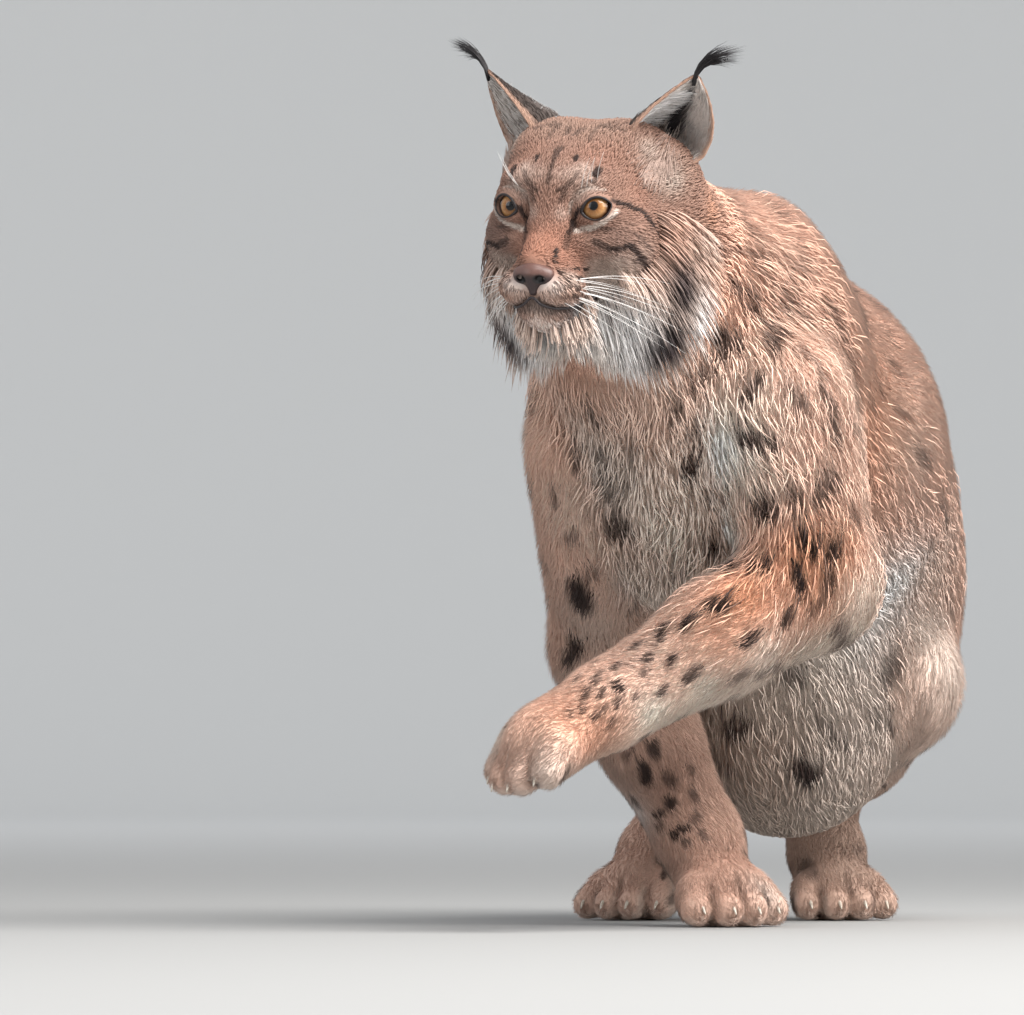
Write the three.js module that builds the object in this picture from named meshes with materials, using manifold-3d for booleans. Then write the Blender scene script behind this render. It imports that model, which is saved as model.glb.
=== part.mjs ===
// A life-size Eurasian lynx, standing on three feet with its left forepaw lifted across its chest.
// Millimetres, +Z up. The animal faces -Y and its left side is +X. The floor is z = 0.
// The flesh is one smooth body of tapered limbs and ovals, parted with thin cuts into named pieces.
// Its surface is the outside of the short coat. Ruff, ear tufts, lids and lips are modelled as their own forms.
import * as THREE from "three";
import { mergeVertices } from "three/addons/utils/BufferGeometryUtils.js";
import { edgeTable, triTable } from "three/addons/objects/MarchingCubes.js";
import Module from "manifold-3d";

const wasm = await Module();
wasm.setup();
const V = (x, y, z) => new THREE.Vector3(x, y, z);
const mirrored = (p, side) => V(p.x * side, p.y, p.z);
const LEFT = 1;
const RIGHT = -1;

// Driving sizes of an adult male
const CUT_GAP = 0.35; // between two pieces that meet
const TRUNK_CELL = 37; // sizes of the triangles
const NECK_CELL = 28;
const LEG_CELL = 28;
const PAW_CELL = 15;
const PAW_LENGTH = 100;
const PAW_WIDTH = 88;
const EYE_RADIUS = 14;
const LID = 2.4; // thickness of the eyelids
const EYE_OPENING = { width: 26, height: 20.5 };
const EAR_WIDTH = 61;
const TUFT = { locks: 6, length: 44, width: 6, thick: 2.2 };
const RUFF = { locks: 7, width: 26, thick: 6, length: 51 };

// Joints of the pose
const HEAD = V(-35, -100, 530);
const HEAD_TURN = THREE.MathUtils.degToRad(-11); // towards the animal's right
const HEAD_NOD = THREE.MathUtils.degToRad(7); // nose down
const HEAD_TILT = THREE.MathUtils.degToRad(3); // left side down
const NECK_TOP = V(-20, -38, 500);
const NECK_BASE = V(-2, 72, 452);
const SPINE = { chest: V(2, 112, 400), loin: V(4, 250, 360), croup: V(4, 370, 318), pelvis: V(0, 476, 296) };
const LIFTED = { shoulder: V(80, 14, 388), elbow: V(104, 34, 262), wrist: V(-28, -74, 168), toes: V(-88, -142, 122) };
const BEARING = { shoulder: V(-76, 60, 364), elbow: V(-92, 152, 212), wrist: V(-24, 180, 66), toes: V(24, 118, 0) };
const HIND_LEFT = { hip: V(40, 476, 302), knee: V(94, 340, 186), hock: V(-14, 490, 98), toes: V(42, 384, 0) };
const HIND_RIGHT = { hip: V(-58, 468, 302), knee: V(-112, 328, 192), hock: V(-108, 470, 98), toes: V(-130, 342, 0) };
const TAIL = { root: V(-4, 540, 318), middle: V(-8, 592, 262), tip: V(-4, 622, 188) };

// Distance fields of the flesh: negative inside, in millimetres

// A tapered limb from a to b. squeeze above 1 makes it that much thinner along side.
function limb(a, b, ra, rb, side = null, squeeze = 1) {
  const d = b.clone().sub(a);
  const span = d.lengthSq();
  return (x, y, z) => {
    let px = x - a.x;
    let py = y - a.y;
    let pz = z - a.z;
    const t = Math.min(1, Math.max(0, (px * d.x + py * d.y + pz * d.z) / span));
    px -= t * d.x;
    py -= t * d.y;
    pz -= t * d.z;
    if (side) {
      const s = (squeeze - 1) * (px * side.x + py * side.y + pz * side.z);
      px += s * side.x;
      py += s * side.y;
      pz += s * side.z;
    }
    return Math.sqrt(px * px + py * py + pz * pz) - ra - t * (rb - ra);
  };
}

// An oval with the given half sizes. tilt turns it about the X axis, and swing about Z, in degrees.
function oval(c, rx, ry, rz, tilt = 0, swing = 0) {
  const turn = new THREE.Matrix4().makeRotationFromEuler(
    new THREE.Euler(THREE.MathUtils.degToRad(tilt), 0, THREE.MathUtils.degToRad(swing), "ZYX"),
  );
  const m = turn.transpose().elements;
  return (x, y, z) => {
    const px = x - c.x;
    const py = y - c.y;
    const pz = z - c.z;
    const u = (m[0] * px + m[4] * py + m[8] * pz) / rx;
    const v = (m[1] * px + m[5] * py + m[9] * pz) / ry;
    const w = (m[2] * px + m[6] * py + m[10] * pz) / rz;
    const k0 = Math.sqrt(u * u + v * v + w * w);
    const k1 = Math.sqrt((u * u) / (rx * rx) + (v * v) / (ry * ry) + (w * w) / (rz * rz));
    return k1 < 1e-9 ? -Math.min(rx, ry, rz) : (k0 * (k0 - 1)) / k1;
  };
}

// Two fields melted together over a width k
function melt(a, b, k) {
  const h = k > 0 ? Math.max(k - Math.abs(a - b), 0) / k : 0;
  return Math.min(a, b) - h * h * k * 0.25;
}

const carve = (a, b, k) => -melt(-a, b, k);
const together = (k, fields) => (x, y, z) => fields.reduce((sum, f) => melt(sum, f(x, y, z), k), 1e4);

// A limb's place on the body: its blend is full at the joint and fades to nothing at the reach
const rooted = (field, width, joint, reach) => ({
  field,
  width: (x, y, z) => width * (1 - Math.hypot(x - joint.x, y - joint.y, z - joint.z) / reach),
});

// Torso and neck

const ACROSS = V(1, 0, 0);
const trunk = together(40, [
  limb(SPINE.chest, SPINE.loin, 136, 152, ACROSS, 1.06),
  limb(SPINE.loin, SPINE.croup, 152, 132, ACROSS, 1.05),
  limb(SPINE.croup, SPINE.pelvis, 132, 98, ACROSS, 1.05),
  limb(V(6, 40, 405), V(4, 92, 296), 82, 68),
  oval(V(10, 314, 184), 98, 128, 119, -4),
  oval(V(40, 146, 480), 46, 64, 80, -14),
  oval(V(-44, 146, 476), 46, 64, 74, -14),
]);
const neckField = limb(NECK_BASE, NECK_TOP, 112, 84);

// Legs and paws

// A paw's own frame: on the ground under its middle, pointing along its toes
function pawFrame(at, forward, up) {
  const f = forward.clone().normalize();
  const u = up.clone().addScaledVector(f, -up.dot(f)).normalize();
  const s = u.clone().cross(f).normalize();
  return (fore, aside, height) =>
    at.clone().addScaledVector(f, fore * PAW_LENGTH).addScaledVector(s, aside * PAW_WIDTH).addScaledVector(u, height);
}

// Four toes in an arc before a broad furry pad; size scales the whole paw
function pawField(frame, ankle, size) {
  const toes = [-1.5, -0.5, 0.5, 1.5].map((n) => {
    const reach = 0.36 - 0.055 * n * n;
    return limb(frame(0.06, n * 0.18, 27 * size), frame(reach, n * 0.235, 13.5 * size), 17 * size, 15 * size);
  });
  const pad = limb(frame(-0.2, 0, 20 * size), frame(0.1, 0, 22 * size), 25 * size, 27 * size);
  const wide = limb(frame(0.02, -0.2, 20 * size), frame(0.02, 0.2, 20 * size), 21 * size, 21 * size);
  const pastern = limb(ankle, frame(-0.04, 0, 30 * size), 33 * size, 27 * size);
  const flesh = together(15, [pad, wide, pastern]);
  const toed = together(5, toes);
  return (x, y, z) => melt(flesh(x, y, z), toed(x, y, z), 7);
}

const UP = V(0, 0, 1);
const along = (a, b) => b.clone().sub(a);
const midway = (a, b, t) => a.clone().lerp(b, t);

function liftedLeg() {
  const { shoulder, elbow, wrist, toes } = LIFTED;
  const forward = along(wrist, toes);
  const under = midway(wrist, toes, 0.6).addScaledVector(V(-0.25, -0.32, 0.91), -24);
  const paw = pawField(pawFrame(under, forward, V(-0.25, -0.32, 0.91)), wrist, 0.98);
  const bones = together(20, [
    limb(shoulder, elbow, 66, 54, V(0.9, 0.4, 0), 1.1),
    limb(elbow, midway(elbow, wrist, 0.45), 54, 47),
    limb(midway(elbow, wrist, 0.45), wrist, 47, 34),
    oval(midway(shoulder, elbow, 0.35).add(V(8, 26, 0)), 44, 62, 74, -10),
  ]);
  return { paw, field: (x, y, z) => melt(bones(x, y, z), paw(x, y, z), 16) };
}

function bearingLeg() {
  const { shoulder, elbow, wrist, toes } = BEARING;
  const forward = V(0.62, -0.78, 0);
  const paw = pawField(pawFrame(toes.clone().addScaledVector(forward, -34), forward, UP), wrist, 1);
  const bones = together(20, [
    limb(shoulder, elbow, 62, 48, ACROSS, 1.12),
    limb(elbow, midway(elbow, wrist, 0.45), 47, 42),
    limb(midway(elbow, wrist, 0.45), wrist, 42, 34),
    oval(midway(shoulder, elbow, 0.4).add(V(2, 14, 0)), 40, 60, 82, -18),
  ]);
  return { paw, field: (x, y, z) => melt(bones(x, y, z), paw(x, y, z), 16) };
}

function hindLeg({ hip, knee, hock, toes }, forward) {
  const heel = toes.clone().addScaledVector(forward, -30);
  const paw = pawField(pawFrame(heel, forward, UP), midway(hock, heel.clone().setZ(24), 0.62), 0.94);
  const out = Math.sign(hip.x);
  const bones = together(26, [
    limb(hip, knee, 84, 54, ACROSS, 1.14),
    limb(knee, midway(knee, hock, 0.5), 54, 44),
    limb(midway(knee, hock, 0.5), hock, 44, 32),
    limb(hock, midway(hock, heel.clone().setZ(24), 0.62), 31, 29),
    oval(V(hip.x * 0.9, hip.y + 8, hip.z - 8), 54, 76, 82, -15),
    oval(midway(hip, knee, 0.55).add(V(out * 4, 26, -22)), 46, 66, 62, 20),
  ]);
  return { paw, field: (x, y, z) => melt(bones(x, y, z), paw(x, y, z), 14) };
}

const tailField = together(14, [
  limb(TAIL.root, TAIL.middle, 42, 36),
  limb(TAIL.middle, TAIL.tip, 36, 31),
]);

const legs = {
  lifted: liftedLeg(),
  bearing: bearingLeg(),
  hindLeft: hindLeg(HIND_LEFT, V(0.5, -0.866, 0)),
  hindRight: hindLeg(HIND_RIGHT, V(-0.1, -0.995, 0)),
};
const roots = {
  lifted: rooted(legs.lifted.field, 52, midway(LIFTED.shoulder, LIFTED.elbow, 0.1), 170),
  bearing: rooted(legs.bearing.field, 52, midway(BEARING.shoulder, BEARING.elbow, 0.2), 180),
  hindLeft: rooted(legs.hindLeft.field, 62, midway(HIND_LEFT.hip, HIND_LEFT.knee, 0.4), 230),
  hindRight: rooted(legs.hindRight.field, 62, midway(HIND_RIGHT.hip, HIND_RIGHT.knee, 0.4), 230),
  tail: rooted(tailField, 40, TAIL.root, 110),
};

// Head, in its own frame: x to its left, -y to its nose, z up

const headPose = new THREE.Matrix4().compose(
  HEAD,
  new THREE.Quaternion().setFromEuler(new THREE.Euler(HEAD_NOD, HEAD_TILT, HEAD_TURN, "ZYX")),
  V(1, 1, 1),
);
const headBack = headPose.clone().invert();
const EYE = V(33.5, -49, 11);
const EAR_ROOT = V(54, 13, 42);
const EAR_TIP = V(86, 6, 107);
const both = (make) => [make(LEFT), make(RIGHT)];

const skull = together(16, [
  oval(V(0, 10, 20), 61, 74, 53),
  oval(V(0, -28, 10), 50, 38, 42),
  ...both((s) => oval(V(30 * s, 8, 42), 33, 40, 32)),
  ...both((s) => oval(V(53 * s, 25, 20), 27, 36, 38)),
  ...both((s) => oval(V(41 * s, -12, -14), 28, 42, 34, 0, 14 * s)),
  ...both((s) => oval(V(40 * s, 14, -28), 27, 40, 38, 12, 10 * s)),
  oval(V(0, 8, -40), 38, 48, 32),
]);
const muzzle = together(9, [
  limb(V(0, -34, -20), V(0, -66, -36), 30, 25),
  limb(V(0, -38, 8), V(0, -82, -25), 18, 13),
  ...both((s) => oval(V(15.5 * s, -76, -46), 19, 19, 14.5, -8, 18 * s)),
  oval(V(0, -58, -64), 26, 31, 18, -10),
]);
const brows = both((s) => oval(V(30 * s, -44, 29), 21, 14, 10, -14, 26 * s));
const cheeks = both((s) => oval(V(34 * s, -48, -14), 20, 14, 12, 0, 34 * s));
const sockets = both((s) => oval(V(EYE.x * s, EYE.y - 9, EYE.z), 17, 12, 14));

function faceField(x, y, z) {
  let d = melt(skull(x, y, z), muzzle(x, y, z), 15);
  for (const b of brows) d = melt(d, b(x, y, z), 12);
  for (const c of cheeks) d = melt(d, c(x, y, z), 14);
  for (const s of sockets) d = carve(d, s(x, y, z), 8);
  return d;
}

const scratch = V(0, 0, 0);
function headField(x, y, z) {
  scratch.set(x, y, z).applyMatrix4(headBack);
  return faceField(scratch.x, scratch.y, scratch.z);
}
const noseField = together(4, [
  oval(V(0, -89, -34), 15, 8, 6.5),
  limb(V(0, -90, -37), V(0, -90, -47), 7.5, 4),
  ...both((s) => oval(V(9 * s, -88, -37), 7, 7.5, 6, 0, 20 * s)),
]);

// The whole animal

const bodyField = (x, y, z) => melt(trunk(x, y, z), neckField(x, y, z), 60);

// Body and head, with each limb only as far as its blend reaches
function fleshField(x, y, z) {
  let d = melt(bodyField(x, y, z), headField(x, y, z), 26);
  for (const root of Object.values(roots)) {
    const width = root.width(x, y, z);
    if (width > 0) d = melt(d, root.field(x, y, z), width);
  }
  return d;
}

// One limb, with the body only as far as its blend reaches
const limbField = (name) => (x, y, z) =>
  roots[name].width(x, y, z) > 0 ? fleshField(x, y, z) : roots[name].field(x, y, z);

// From a field to a closed mesh

const steps = (low, high, cell) => {
  const n = Math.ceil((high - low) / cell);
  return Array.from({ length: n + 1 }, (_, i) => low + (i * (high - low)) / n);
};
const CORNERS = [[0, 0, 0], [1, 0, 0], [1, 1, 0], [0, 1, 0], [0, 0, 1], [1, 0, 1], [1, 1, 1], [0, 1, 1]];
const EDGES = [[0, 1], [1, 2], [2, 3], [3, 0], [4, 5], [5, 6], [6, 7], [7, 4], [0, 4], [1, 5], [2, 6], [3, 7]];
const TINY = 1e-4;

// Marching cubes over a grid of planes. Edge points are shared, so the mesh closes on itself.
function marched(field, xs, ys, zs) {
  const at = (i, j, k) => (k * ys.length + j) * xs.length + i;
  const value = new Float64Array(xs.length * ys.length * zs.length);
  zs.forEach((z, k) =>
    ys.forEach((y, j) =>
      xs.forEach((x, i) => {
        const rim = !i || !j || !k || i === xs.length - 1 || j === ys.length - 1 || k === zs.length - 1;
        const d = field(x, y, z);
        value[at(i, j, k)] = rim ? Math.max(d, 1) : Math.abs(d) < TINY ? TINY : d;
      }),
    ),
  );
  const points = [];
  const faces = [];
  const seen = new Map();
  const pointOn = (a, b) => {
    const [p, q] = [at(...a), at(...b)];
    const key = Math.min(p, q) * value.length + Math.max(p, q);
    if (!seen.has(key)) {
      const t = Math.min(0.97, Math.max(0.03, value[p] / (value[p] - value[q])));
      seen.set(key, points.length);
      points.push([a, b].map(([i, j, k]) => V(xs[i], ys[j], zs[k])).reduce((u, w) => u.lerp(w, t)));
    }
    return seen.get(key);
  };
  for (let k = 0; k + 1 < zs.length; k++)
    for (let j = 0; j + 1 < ys.length; j++)
      for (let i = 0; i + 1 < xs.length; i++) {
        const corner = CORNERS.map(([a, b, c]) => [i + a, j + b, k + c]);
        const code = corner.reduce((sum, c, n) => sum | (value[at(...c)] < 0 ? 1 << n : 0), 0);
        if (!edgeTable[code]) continue;
        for (let n = code * 16; triTable[n] !== -1; n += 3) {
          const [a, b, c] = [0, 1, 2].map((m) => EDGES[triTable[n + m]].map((e) => corner[e]));
          faces.push([pointOn(...a), pointOn(...c), pointOn(...b)]);
        }
      }
  return { points, faces };
}

function slope(field, p, h = 0.5) {
  const at = (dx, dy, dz) => field(p.x + dx, p.y + dy, p.z + dz);
  return V(at(h, 0, 0) - at(-h, 0, 0), at(0, h, 0) - at(0, -h, 0), at(0, 0, h) - at(0, 0, -h)).divideScalar(2 * h);
}

// Evens the triangles out and sets every point back on the field's zero
function settle({ points, faces }, field, reach, rounds = 4) {
  const near = points.map(() => new Set());
  for (const f of faces) f.forEach((v, n) => near[v].add(f[(n + 1) % 3]).add(f[(n + 2) % 3]));
  const free = points.map((p) => Math.abs(field(p.x, p.y, p.z)) < reach);
  for (let round = 0; round < rounds; round++) {
    const middles = near.map((set) => {
      const sum = V(0, 0, 0);
      for (const n of set) sum.add(points[n]);
      return sum.divideScalar(set.size);
    });
    points.forEach((p, n) => {
      if (!free[n]) return;
      p.lerp(middles[n], 0.55);
      for (let step = 0; step < 2; step++) {
        const g = slope(field, p);
        p.addScaledVector(g, -field(p.x, p.y, p.z) / Math.max(0.3, g.lengthSq()));
      }
    });
  }
  return { points, faces };
}

function solidFrom({ points, faces }) {
  const made = new wasm.Manifold(
    new wasm.Mesh({
      numProp: 3,
      vertProperties: Float32Array.from(points.flatMap((p) => [p.x, p.y, p.z])),
      triVerts: Uint32Array.from(faces.flat()),
    }),
  );
  return made.volume() < 0 ? solidFrom({ points, faces: faces.map(([a, b, c]) => [a, c, b]) }) : made;
}

function solidOf(geometry) {
  const bare = geometry.clone().deleteAttribute("normal").deleteAttribute("uv");
  const merged = mergeVertices(bare, 1e-3);
  const at = merged.attributes.position;
  const points = Array.from({ length: at.count }, (_, n) => V(at.getX(n), at.getY(n), at.getZ(n)));
  const index = Array.from(merged.index.array);
  const faces = Array.from({ length: index.length / 3 }, (_, n) => index.slice(3 * n, 3 * n + 3));
  return solidFrom({ points, faces: faces.filter(([a, b, c]) => a !== b && b !== c && c !== a) });
}

// A copy of a closed solid with each point moved outwards by gap
function grown(solid, gap) {
  const mesh = solid.getMesh();
  const points = [];
  for (let n = 0; n < mesh.vertProperties.length; n += mesh.numProp)
    points.push(V(mesh.vertProperties[n], mesh.vertProperties[n + 1], mesh.vertProperties[n + 2]));
  const faces = [];
  for (let n = 0; n < mesh.triVerts.length; n += 3) faces.push(Array.from(mesh.triVerts.slice(n, n + 3)));
  const normals = points.map(() => V(0, 0, 0));
  for (const [a, b, c] of faces) {
    const n = points[b].clone().sub(points[a]).cross(points[c].clone().sub(points[a]));
    for (const v of [a, b, c]) normals[v].add(n);
  }
  points.forEach((p, n) => p.addScaledVector(normals[n].normalize(), gap));
  return solidFrom({ points, faces });
}

const largest = (solid) => solid.decompose().reduce((a, b) => (b.volume() > a.volume() ? b : a));

// Territories: where one piece ends and the next begins

const boxGrid = ([low, high], cell) => ["x", "y", "z"].map((a) => steps(low[a], high[a], cell));

// The flesh of a field inside a box, above the floor
function fleshIn(field, bounds, cell) {
  const solid = solidFrom(settle(marched(field, ...boxGrid(bounds, cell)), field, cell));
  return solid.trimByPlane([0, 0, 1], 0);
}

// The space that lies nearer to one field than to another
function nearerTo(mine, other, bounds, cell = 46) {
  const lead = (x, y, z) => mine(x, y, z) - other(x, y, z);
  return solidFrom(settle(marched(lead, ...boxGrid(bounds, cell)), lead, cell, 2));
}

// Everything beyond a plane through a point, as one block
function beyond(point, direction, gap = 0, size = 170) {
  const turn = new THREE.Quaternion().setFromUnitVectors(UP, direction.clone().normalize());
  const centre = point.clone().addScaledVector(direction.clone().normalize(), size / 2 - gap);
  const block = new THREE.BoxGeometry(size, size, size);
  return solidOf(block.applyMatrix4(new THREE.Matrix4().compose(centre, turn, V(1, 1, 1))));
}

const LEG_BOXES = {
  lifted: [V(-150, -210, 60), V(190, 150, 480)],
  bearing: [V(-190, -20, -14), V(110, 260, 470)],
  hindLeft: [V(-80, 240, -14), V(190, 620, 440)],
  hindRight: [V(-200, 230, -14), V(70, 620, 440)],
};
const WRISTS = {
  lifted: [midway(LIFTED.wrist, LIFTED.toes, 0.02), along(LIFTED.wrist, LIFTED.toes)],
  bearing: [V(-18, 176, 60), V(0.35, -0.3, -0.88)],
  hindLeft: [V(8, 452, 56), V(0.4, -0.72, -0.56)],
  hindRight: [V(-116, 426, 56), V(-0.1, -0.8, -0.6)],
};
const TAIL_BOX = [V(-90, 490, 110), V(80, 700, 420)];
const NECK_CUT = [V(-14, 24, 452), V(-0.1, -0.85, 0.5)];

const matte = (colour, roughness) => new THREE.MeshStandardMaterial({ color: colour, roughness, metalness: 0 });
const COAT = matte(0xb98258, 0.9);
const DARK_COAT = matte(0x2a2320, 0.9);
const NOSE_SKIN = matte(0x7a4a40, 0.55);
const EYE_GLASS = matte(0xa8752c, 0.1);

const lynx = new THREE.Group();
function place(name, solid, material) {
  const { vertProperties, triVerts } = largest(solid).getMesh();
  const geometry = new THREE.BufferGeometry();
  geometry.setAttribute("position", new THREE.BufferAttribute(vertProperties, 3));
  geometry.setIndex(new THREE.BufferAttribute(triVerts, 1));
  geometry.computeVertexNormals();
  const mesh = new THREE.Mesh(geometry, material);
  mesh.name = name;
  lynx.add(mesh);
}

const territory = {};
territory.tail = nearerTo(tailField, bodyField, TAIL_BOX);
for (const [name, bounds] of Object.entries(LEG_BOXES)) {
  const own = nearerTo(legs[name].field, bodyField, bounds);
  territory[name] = name.startsWith("hind") ? own.subtract(grown(territory.tail, CUT_GAP)) : own;
}

const NAMES = {
  lifted: ["foreleg_left", "forepaw_left"],
  bearing: ["foreleg_right", "forepaw_right"],
  hindLeft: ["hind_leg_left", "hind_paw_left"],
  hindRight: ["hind_leg_right", "hind_paw_right"],
};
const limbSolids = [];
for (const [name, bounds] of Object.entries(LEG_BOXES)) {
  const own = limbField(name);
  const leg = fleshIn(own, bounds, LEG_CELL).intersect(territory[name]);
  const [at, way] = WRISTS[name];
  const middle = at.clone().addScaledVector(way.clone().normalize(), 50);
  const around = [middle.clone().sub(V(90, 90, 75)), middle.clone().add(V(90, 90, name === "lifted" ? 90 : 52))];
  const paw = fleshIn(own, around, PAW_CELL).intersect(beyond(at, way)).intersect(territory[name]);
  limbSolids.push([NAMES[name][0], largest(leg.subtract(beyond(at, way, CUT_GAP)))]);
  limbSolids.push([NAMES[name][1], largest(paw)]);
}
limbSolids.push(["tail", largest(fleshIn(limbField("tail"), TAIL_BOX, LEG_CELL).intersect(territory.tail))]);
for (const [name, solid] of limbSolids) place(name, solid, COAT);

const claimed = wasm.Manifold.union(Object.values(territory).map((t) => grown(t, CUT_GAP)));
const trunkSolid = fleshIn(fleshField, [V(-190, -110, 20), V(190, 660, 640)], TRUNK_CELL);
const torso = largest(trunkSolid.subtract(beyond(...NECK_CUT, CUT_GAP, 600)).subtract(claimed));
place("torso", torso, COAT);

// Head pieces, made in the head's own frame

const inWorld = (solid) => solid.transform(headPose.elements);
const world = V(0, 0, 0);
function localField(x, y, z) {
  world.set(x, y, z).applyMatrix4(headPose);
  return fleshField(world.x, world.y, world.z);
}
const spaced = (low, high, sizeAt) => {
  const planes = [low];
  while (planes.at(-1) < high) planes.push(planes.at(-1) + sizeAt(planes.at(-1)));
  return planes;
};
const HEAD_GRID = [
  spaced(-90, 90, (x) => (Math.abs(x + 3) < 40 ? 6.8 : 15)),
  spaced(-102, 90, (y) => (y < -42 ? 6.6 : 18)),
  spaced(-110, 92, (z) => (z > -68 && z < 26 ? 6.8 : 16)),
];
const NECK_FACE = [V(0, 52, 0), V(0, 1, -0.1)];

// A closed tube or strip through rings of points, ending in a point when tip is given
function ringed(rings, tip) {
  const n = rings[0].length;
  const points = rings.flat();
  const faces = [];
  for (let r = 0; r + 1 < rings.length; r++)
    for (let i = 0; i < n; i++) {
      const [a, b] = [r * n + i, r * n + ((i + 1) % n)];
      faces.push([a, b, b + n], [a, b + n, a + n]);
    }
  const middle = (ring) => ring.reduce((sum, p) => sum.add(p), V(0, 0, 0)).divideScalar(n);
  points.push(middle(rings[0]), tip ?? middle(rings.at(-1)));
  const last = (rings.length - 1) * n;
  for (let i = 0; i < n; i++) {
    const j = (i + 1) % n;
    faces.push([j, i, points.length - 2], [last + i, last + j, points.length - 1]);
  }
  return solidFrom({ points, faces });
}

// A round tube of radius r along a path
function tube(path, r, sides = 6) {
  const curve = new THREE.CatmullRomCurve3(path);
  const count = path.length + 1;
  const { normals, binormals } = curve.computeFrenetFrames(count);
  const rings = normals.map((normal, k) => {
    const centre = curve.getPointAt(k / count);
    return Array.from({ length: sides }, (_, i) => {
      const turn = (i / sides) * 2 * Math.PI;
      return centre
        .clone()
        .addScaledVector(normal, r * Math.cos(turn))
        .addScaledVector(binormals[k], r * Math.sin(turn));
    });
  });
  return ringed(rings);
}

// Sets a point onto a field's zero, or lifts it off by a height
function onto(field, p, height = 0) {
  for (let step = 0; step < 8; step++) {
    const g = slope(field, p);
    p.addScaledVector(g, (height - field(p.x, p.y, p.z)) / Math.max(0.3, g.lengthSq()));
  }
  return p;
}

const MOUTH = [V(0, -92, -52), V(7, -91, -57), V(15, -86, -60), V(23, -76, -60), V(30, -63, -57), V(35, -52, -52)];
const wholeMouth = [...MOUTH.slice(1).reverse().map((p) => mirrored(p, -1)), ...MOUTH];
const lipLine = (drop, height) => wholeMouth.map((p) => onto(localField, p.clone().add(V(0, 0, -drop)), height));

// The eye's frame: x across to the outer corner, y up, z out along the gaze
function eyeFrame(side) {
  const gaze = V(Math.sin(0.35) * side, -Math.cos(0.35), 0.05).normalize();
  const across = V(Math.cos(0.35) * side, Math.sin(0.35), 0.27).normalize();
  const up = gaze.clone().cross(across).multiplyScalar(-side).normalize();
  return (u, v, w) =>
    V(EYE.x * side, EYE.y, EYE.z).addScaledVector(across, u).addScaledVector(up, v).addScaledVector(gaze, w);
}

// The almond between the lids, drawn outwards from the eye's middle
function eyeOpening(side) {
  const frame = eyeFrame(side);
  const [a, b] = [EYE_OPENING.width / 2, EYE_OPENING.height / 2];
  const outline = Array.from({ length: 20 }, (_, i) => {
    const t = (i / 20) * 2 * Math.PI;
    return [a * Math.cos(t), b * Math.sin(t) * (1 - 0.35 * Math.abs(Math.cos(t)) ** 3)];
  });
  return ringed([6, 30].map((w) => outline.map(([u, v]) => frame(u, v, w))));
}

// The cup of an ear: a curved wall, open to the front and side, around the line from root to tip
function earCup(side) {
  const up = along(EAR_ROOT, EAR_TIP);
  const height = up.length();
  up.normalize();
  const facing = V(0.72, -0.69, 0);
  facing.addScaledVector(up, -facing.dot(up)).normalize();
  const across = up.clone().cross(facing);
  if (across.x < 0) across.negate();
  const levels = [
    { v: -0.3, half: 0.45, bend: 115, wall: 7 },
    { v: -0.06, half: 0.78, bend: 110, wall: 6.5 },
    { v: 0.15, half: 1, bend: 100, wall: 6 },
    { v: 0.35, half: 0.98, bend: 88, wall: 5 },
    { v: 0.55, half: 0.82, bend: 74, wall: 4.5 },
    { v: 0.73, half: 0.58, bend: 62, wall: 4 },
    { v: 0.87, half: 0.34, bend: 52, wall: 3.5 },
    { v: 0.96, half: 0.15, bend: 45, wall: 3 },
  ];
  const rings = levels.map(({ v, half, bend, wall }) => {
    const alpha = THREE.MathUtils.degToRad(bend);
    const width = (EAR_WIDTH / 2) * half;
    const r = width / Math.sin(Math.min(alpha, Math.PI / 2));
    const lean = v < 0.15 ? 22 * (v - 0.15) : 3 * Math.sin(3 * (v - 0.15));
    const centre = EAR_ROOT.clone().addScaledVector(up, v * height).addScaledVector(across, lean);
    const point = (phi, rho) =>
      centre
        .clone()
        .addScaledVector(across, rho * Math.sin(phi))
        .addScaledVector(facing, r * Math.cos(alpha) - rho * Math.cos(phi));
    const turns = Array.from({ length: 9 }, (_, i) => alpha * (i / 4 - 1));
    const outer = turns.map((phi) => point(phi, r + wall / 2));
    const inner = turns.map((phi) => point(phi, Math.max(0.4, r - wall / 2))).reverse();
    return [...outer, ...inner].map((p) => mirrored(p, side));
  });
  return ringed(rings, mirrored(EAR_TIP, side));
}

const localHead = solidFrom(settle(marched(localField, ...HEAD_GRID), localField, 8, 5)).subtract(
  beyond(...NECK_FACE, 0, 400),
);
const noseSolid = solidFrom(
  settle(marched(noseField, steps(-20, 20, 5), steps(-102, -76, 5.2), steps(-56, -24, 5)), noseField, 6),
);
// An eyeball, or the lids' shell around it when it is thicker
const ball = (side, more, detail) =>
  solidOf(new THREE.IcosahedronGeometry(EYE_RADIUS + more, detail).translate(EYE.x * side, EYE.y, EYE.z));
// The front of the eyeball: the part that is seen and a little more
const eyeFront = (side, more) => {
  const frame = eyeFrame(side);
  return ball(side, more, 3).intersect(beyond(frame(0, 0, 2 - more), along(frame(0, 0, 0), frame(0, 0, 1)), 0, 60));
};
const nostril = (side) =>
  tube([V(4.5 * side, -100, -39), V(7 * side, -96, -38.5), V(10.5 * side, -93, -36.5), V(13 * side, -89, -36)], 2.3);

let headSolid = localHead.subtract(grown(noseSolid, CUT_GAP));
for (const side of [LEFT, RIGHT])
  headSolid = headSolid.add(ball(side, LID, 3)).subtract(eyeFront(side, CUT_GAP)).subtract(eyeOpening(side));
headSolid = headSolid
  .add(tube(lipLine(3, -0.4), 2.4, 5))
  .subtract(tube(lipLine(0, 0.3), 1.8, 5))
  .subtract(tube([V(0, -97, -46), V(0, -95, -52), V(0, -92, -56)], 1.5, 5));

// Long hair: flat, tapered locks that bend and overlap

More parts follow.
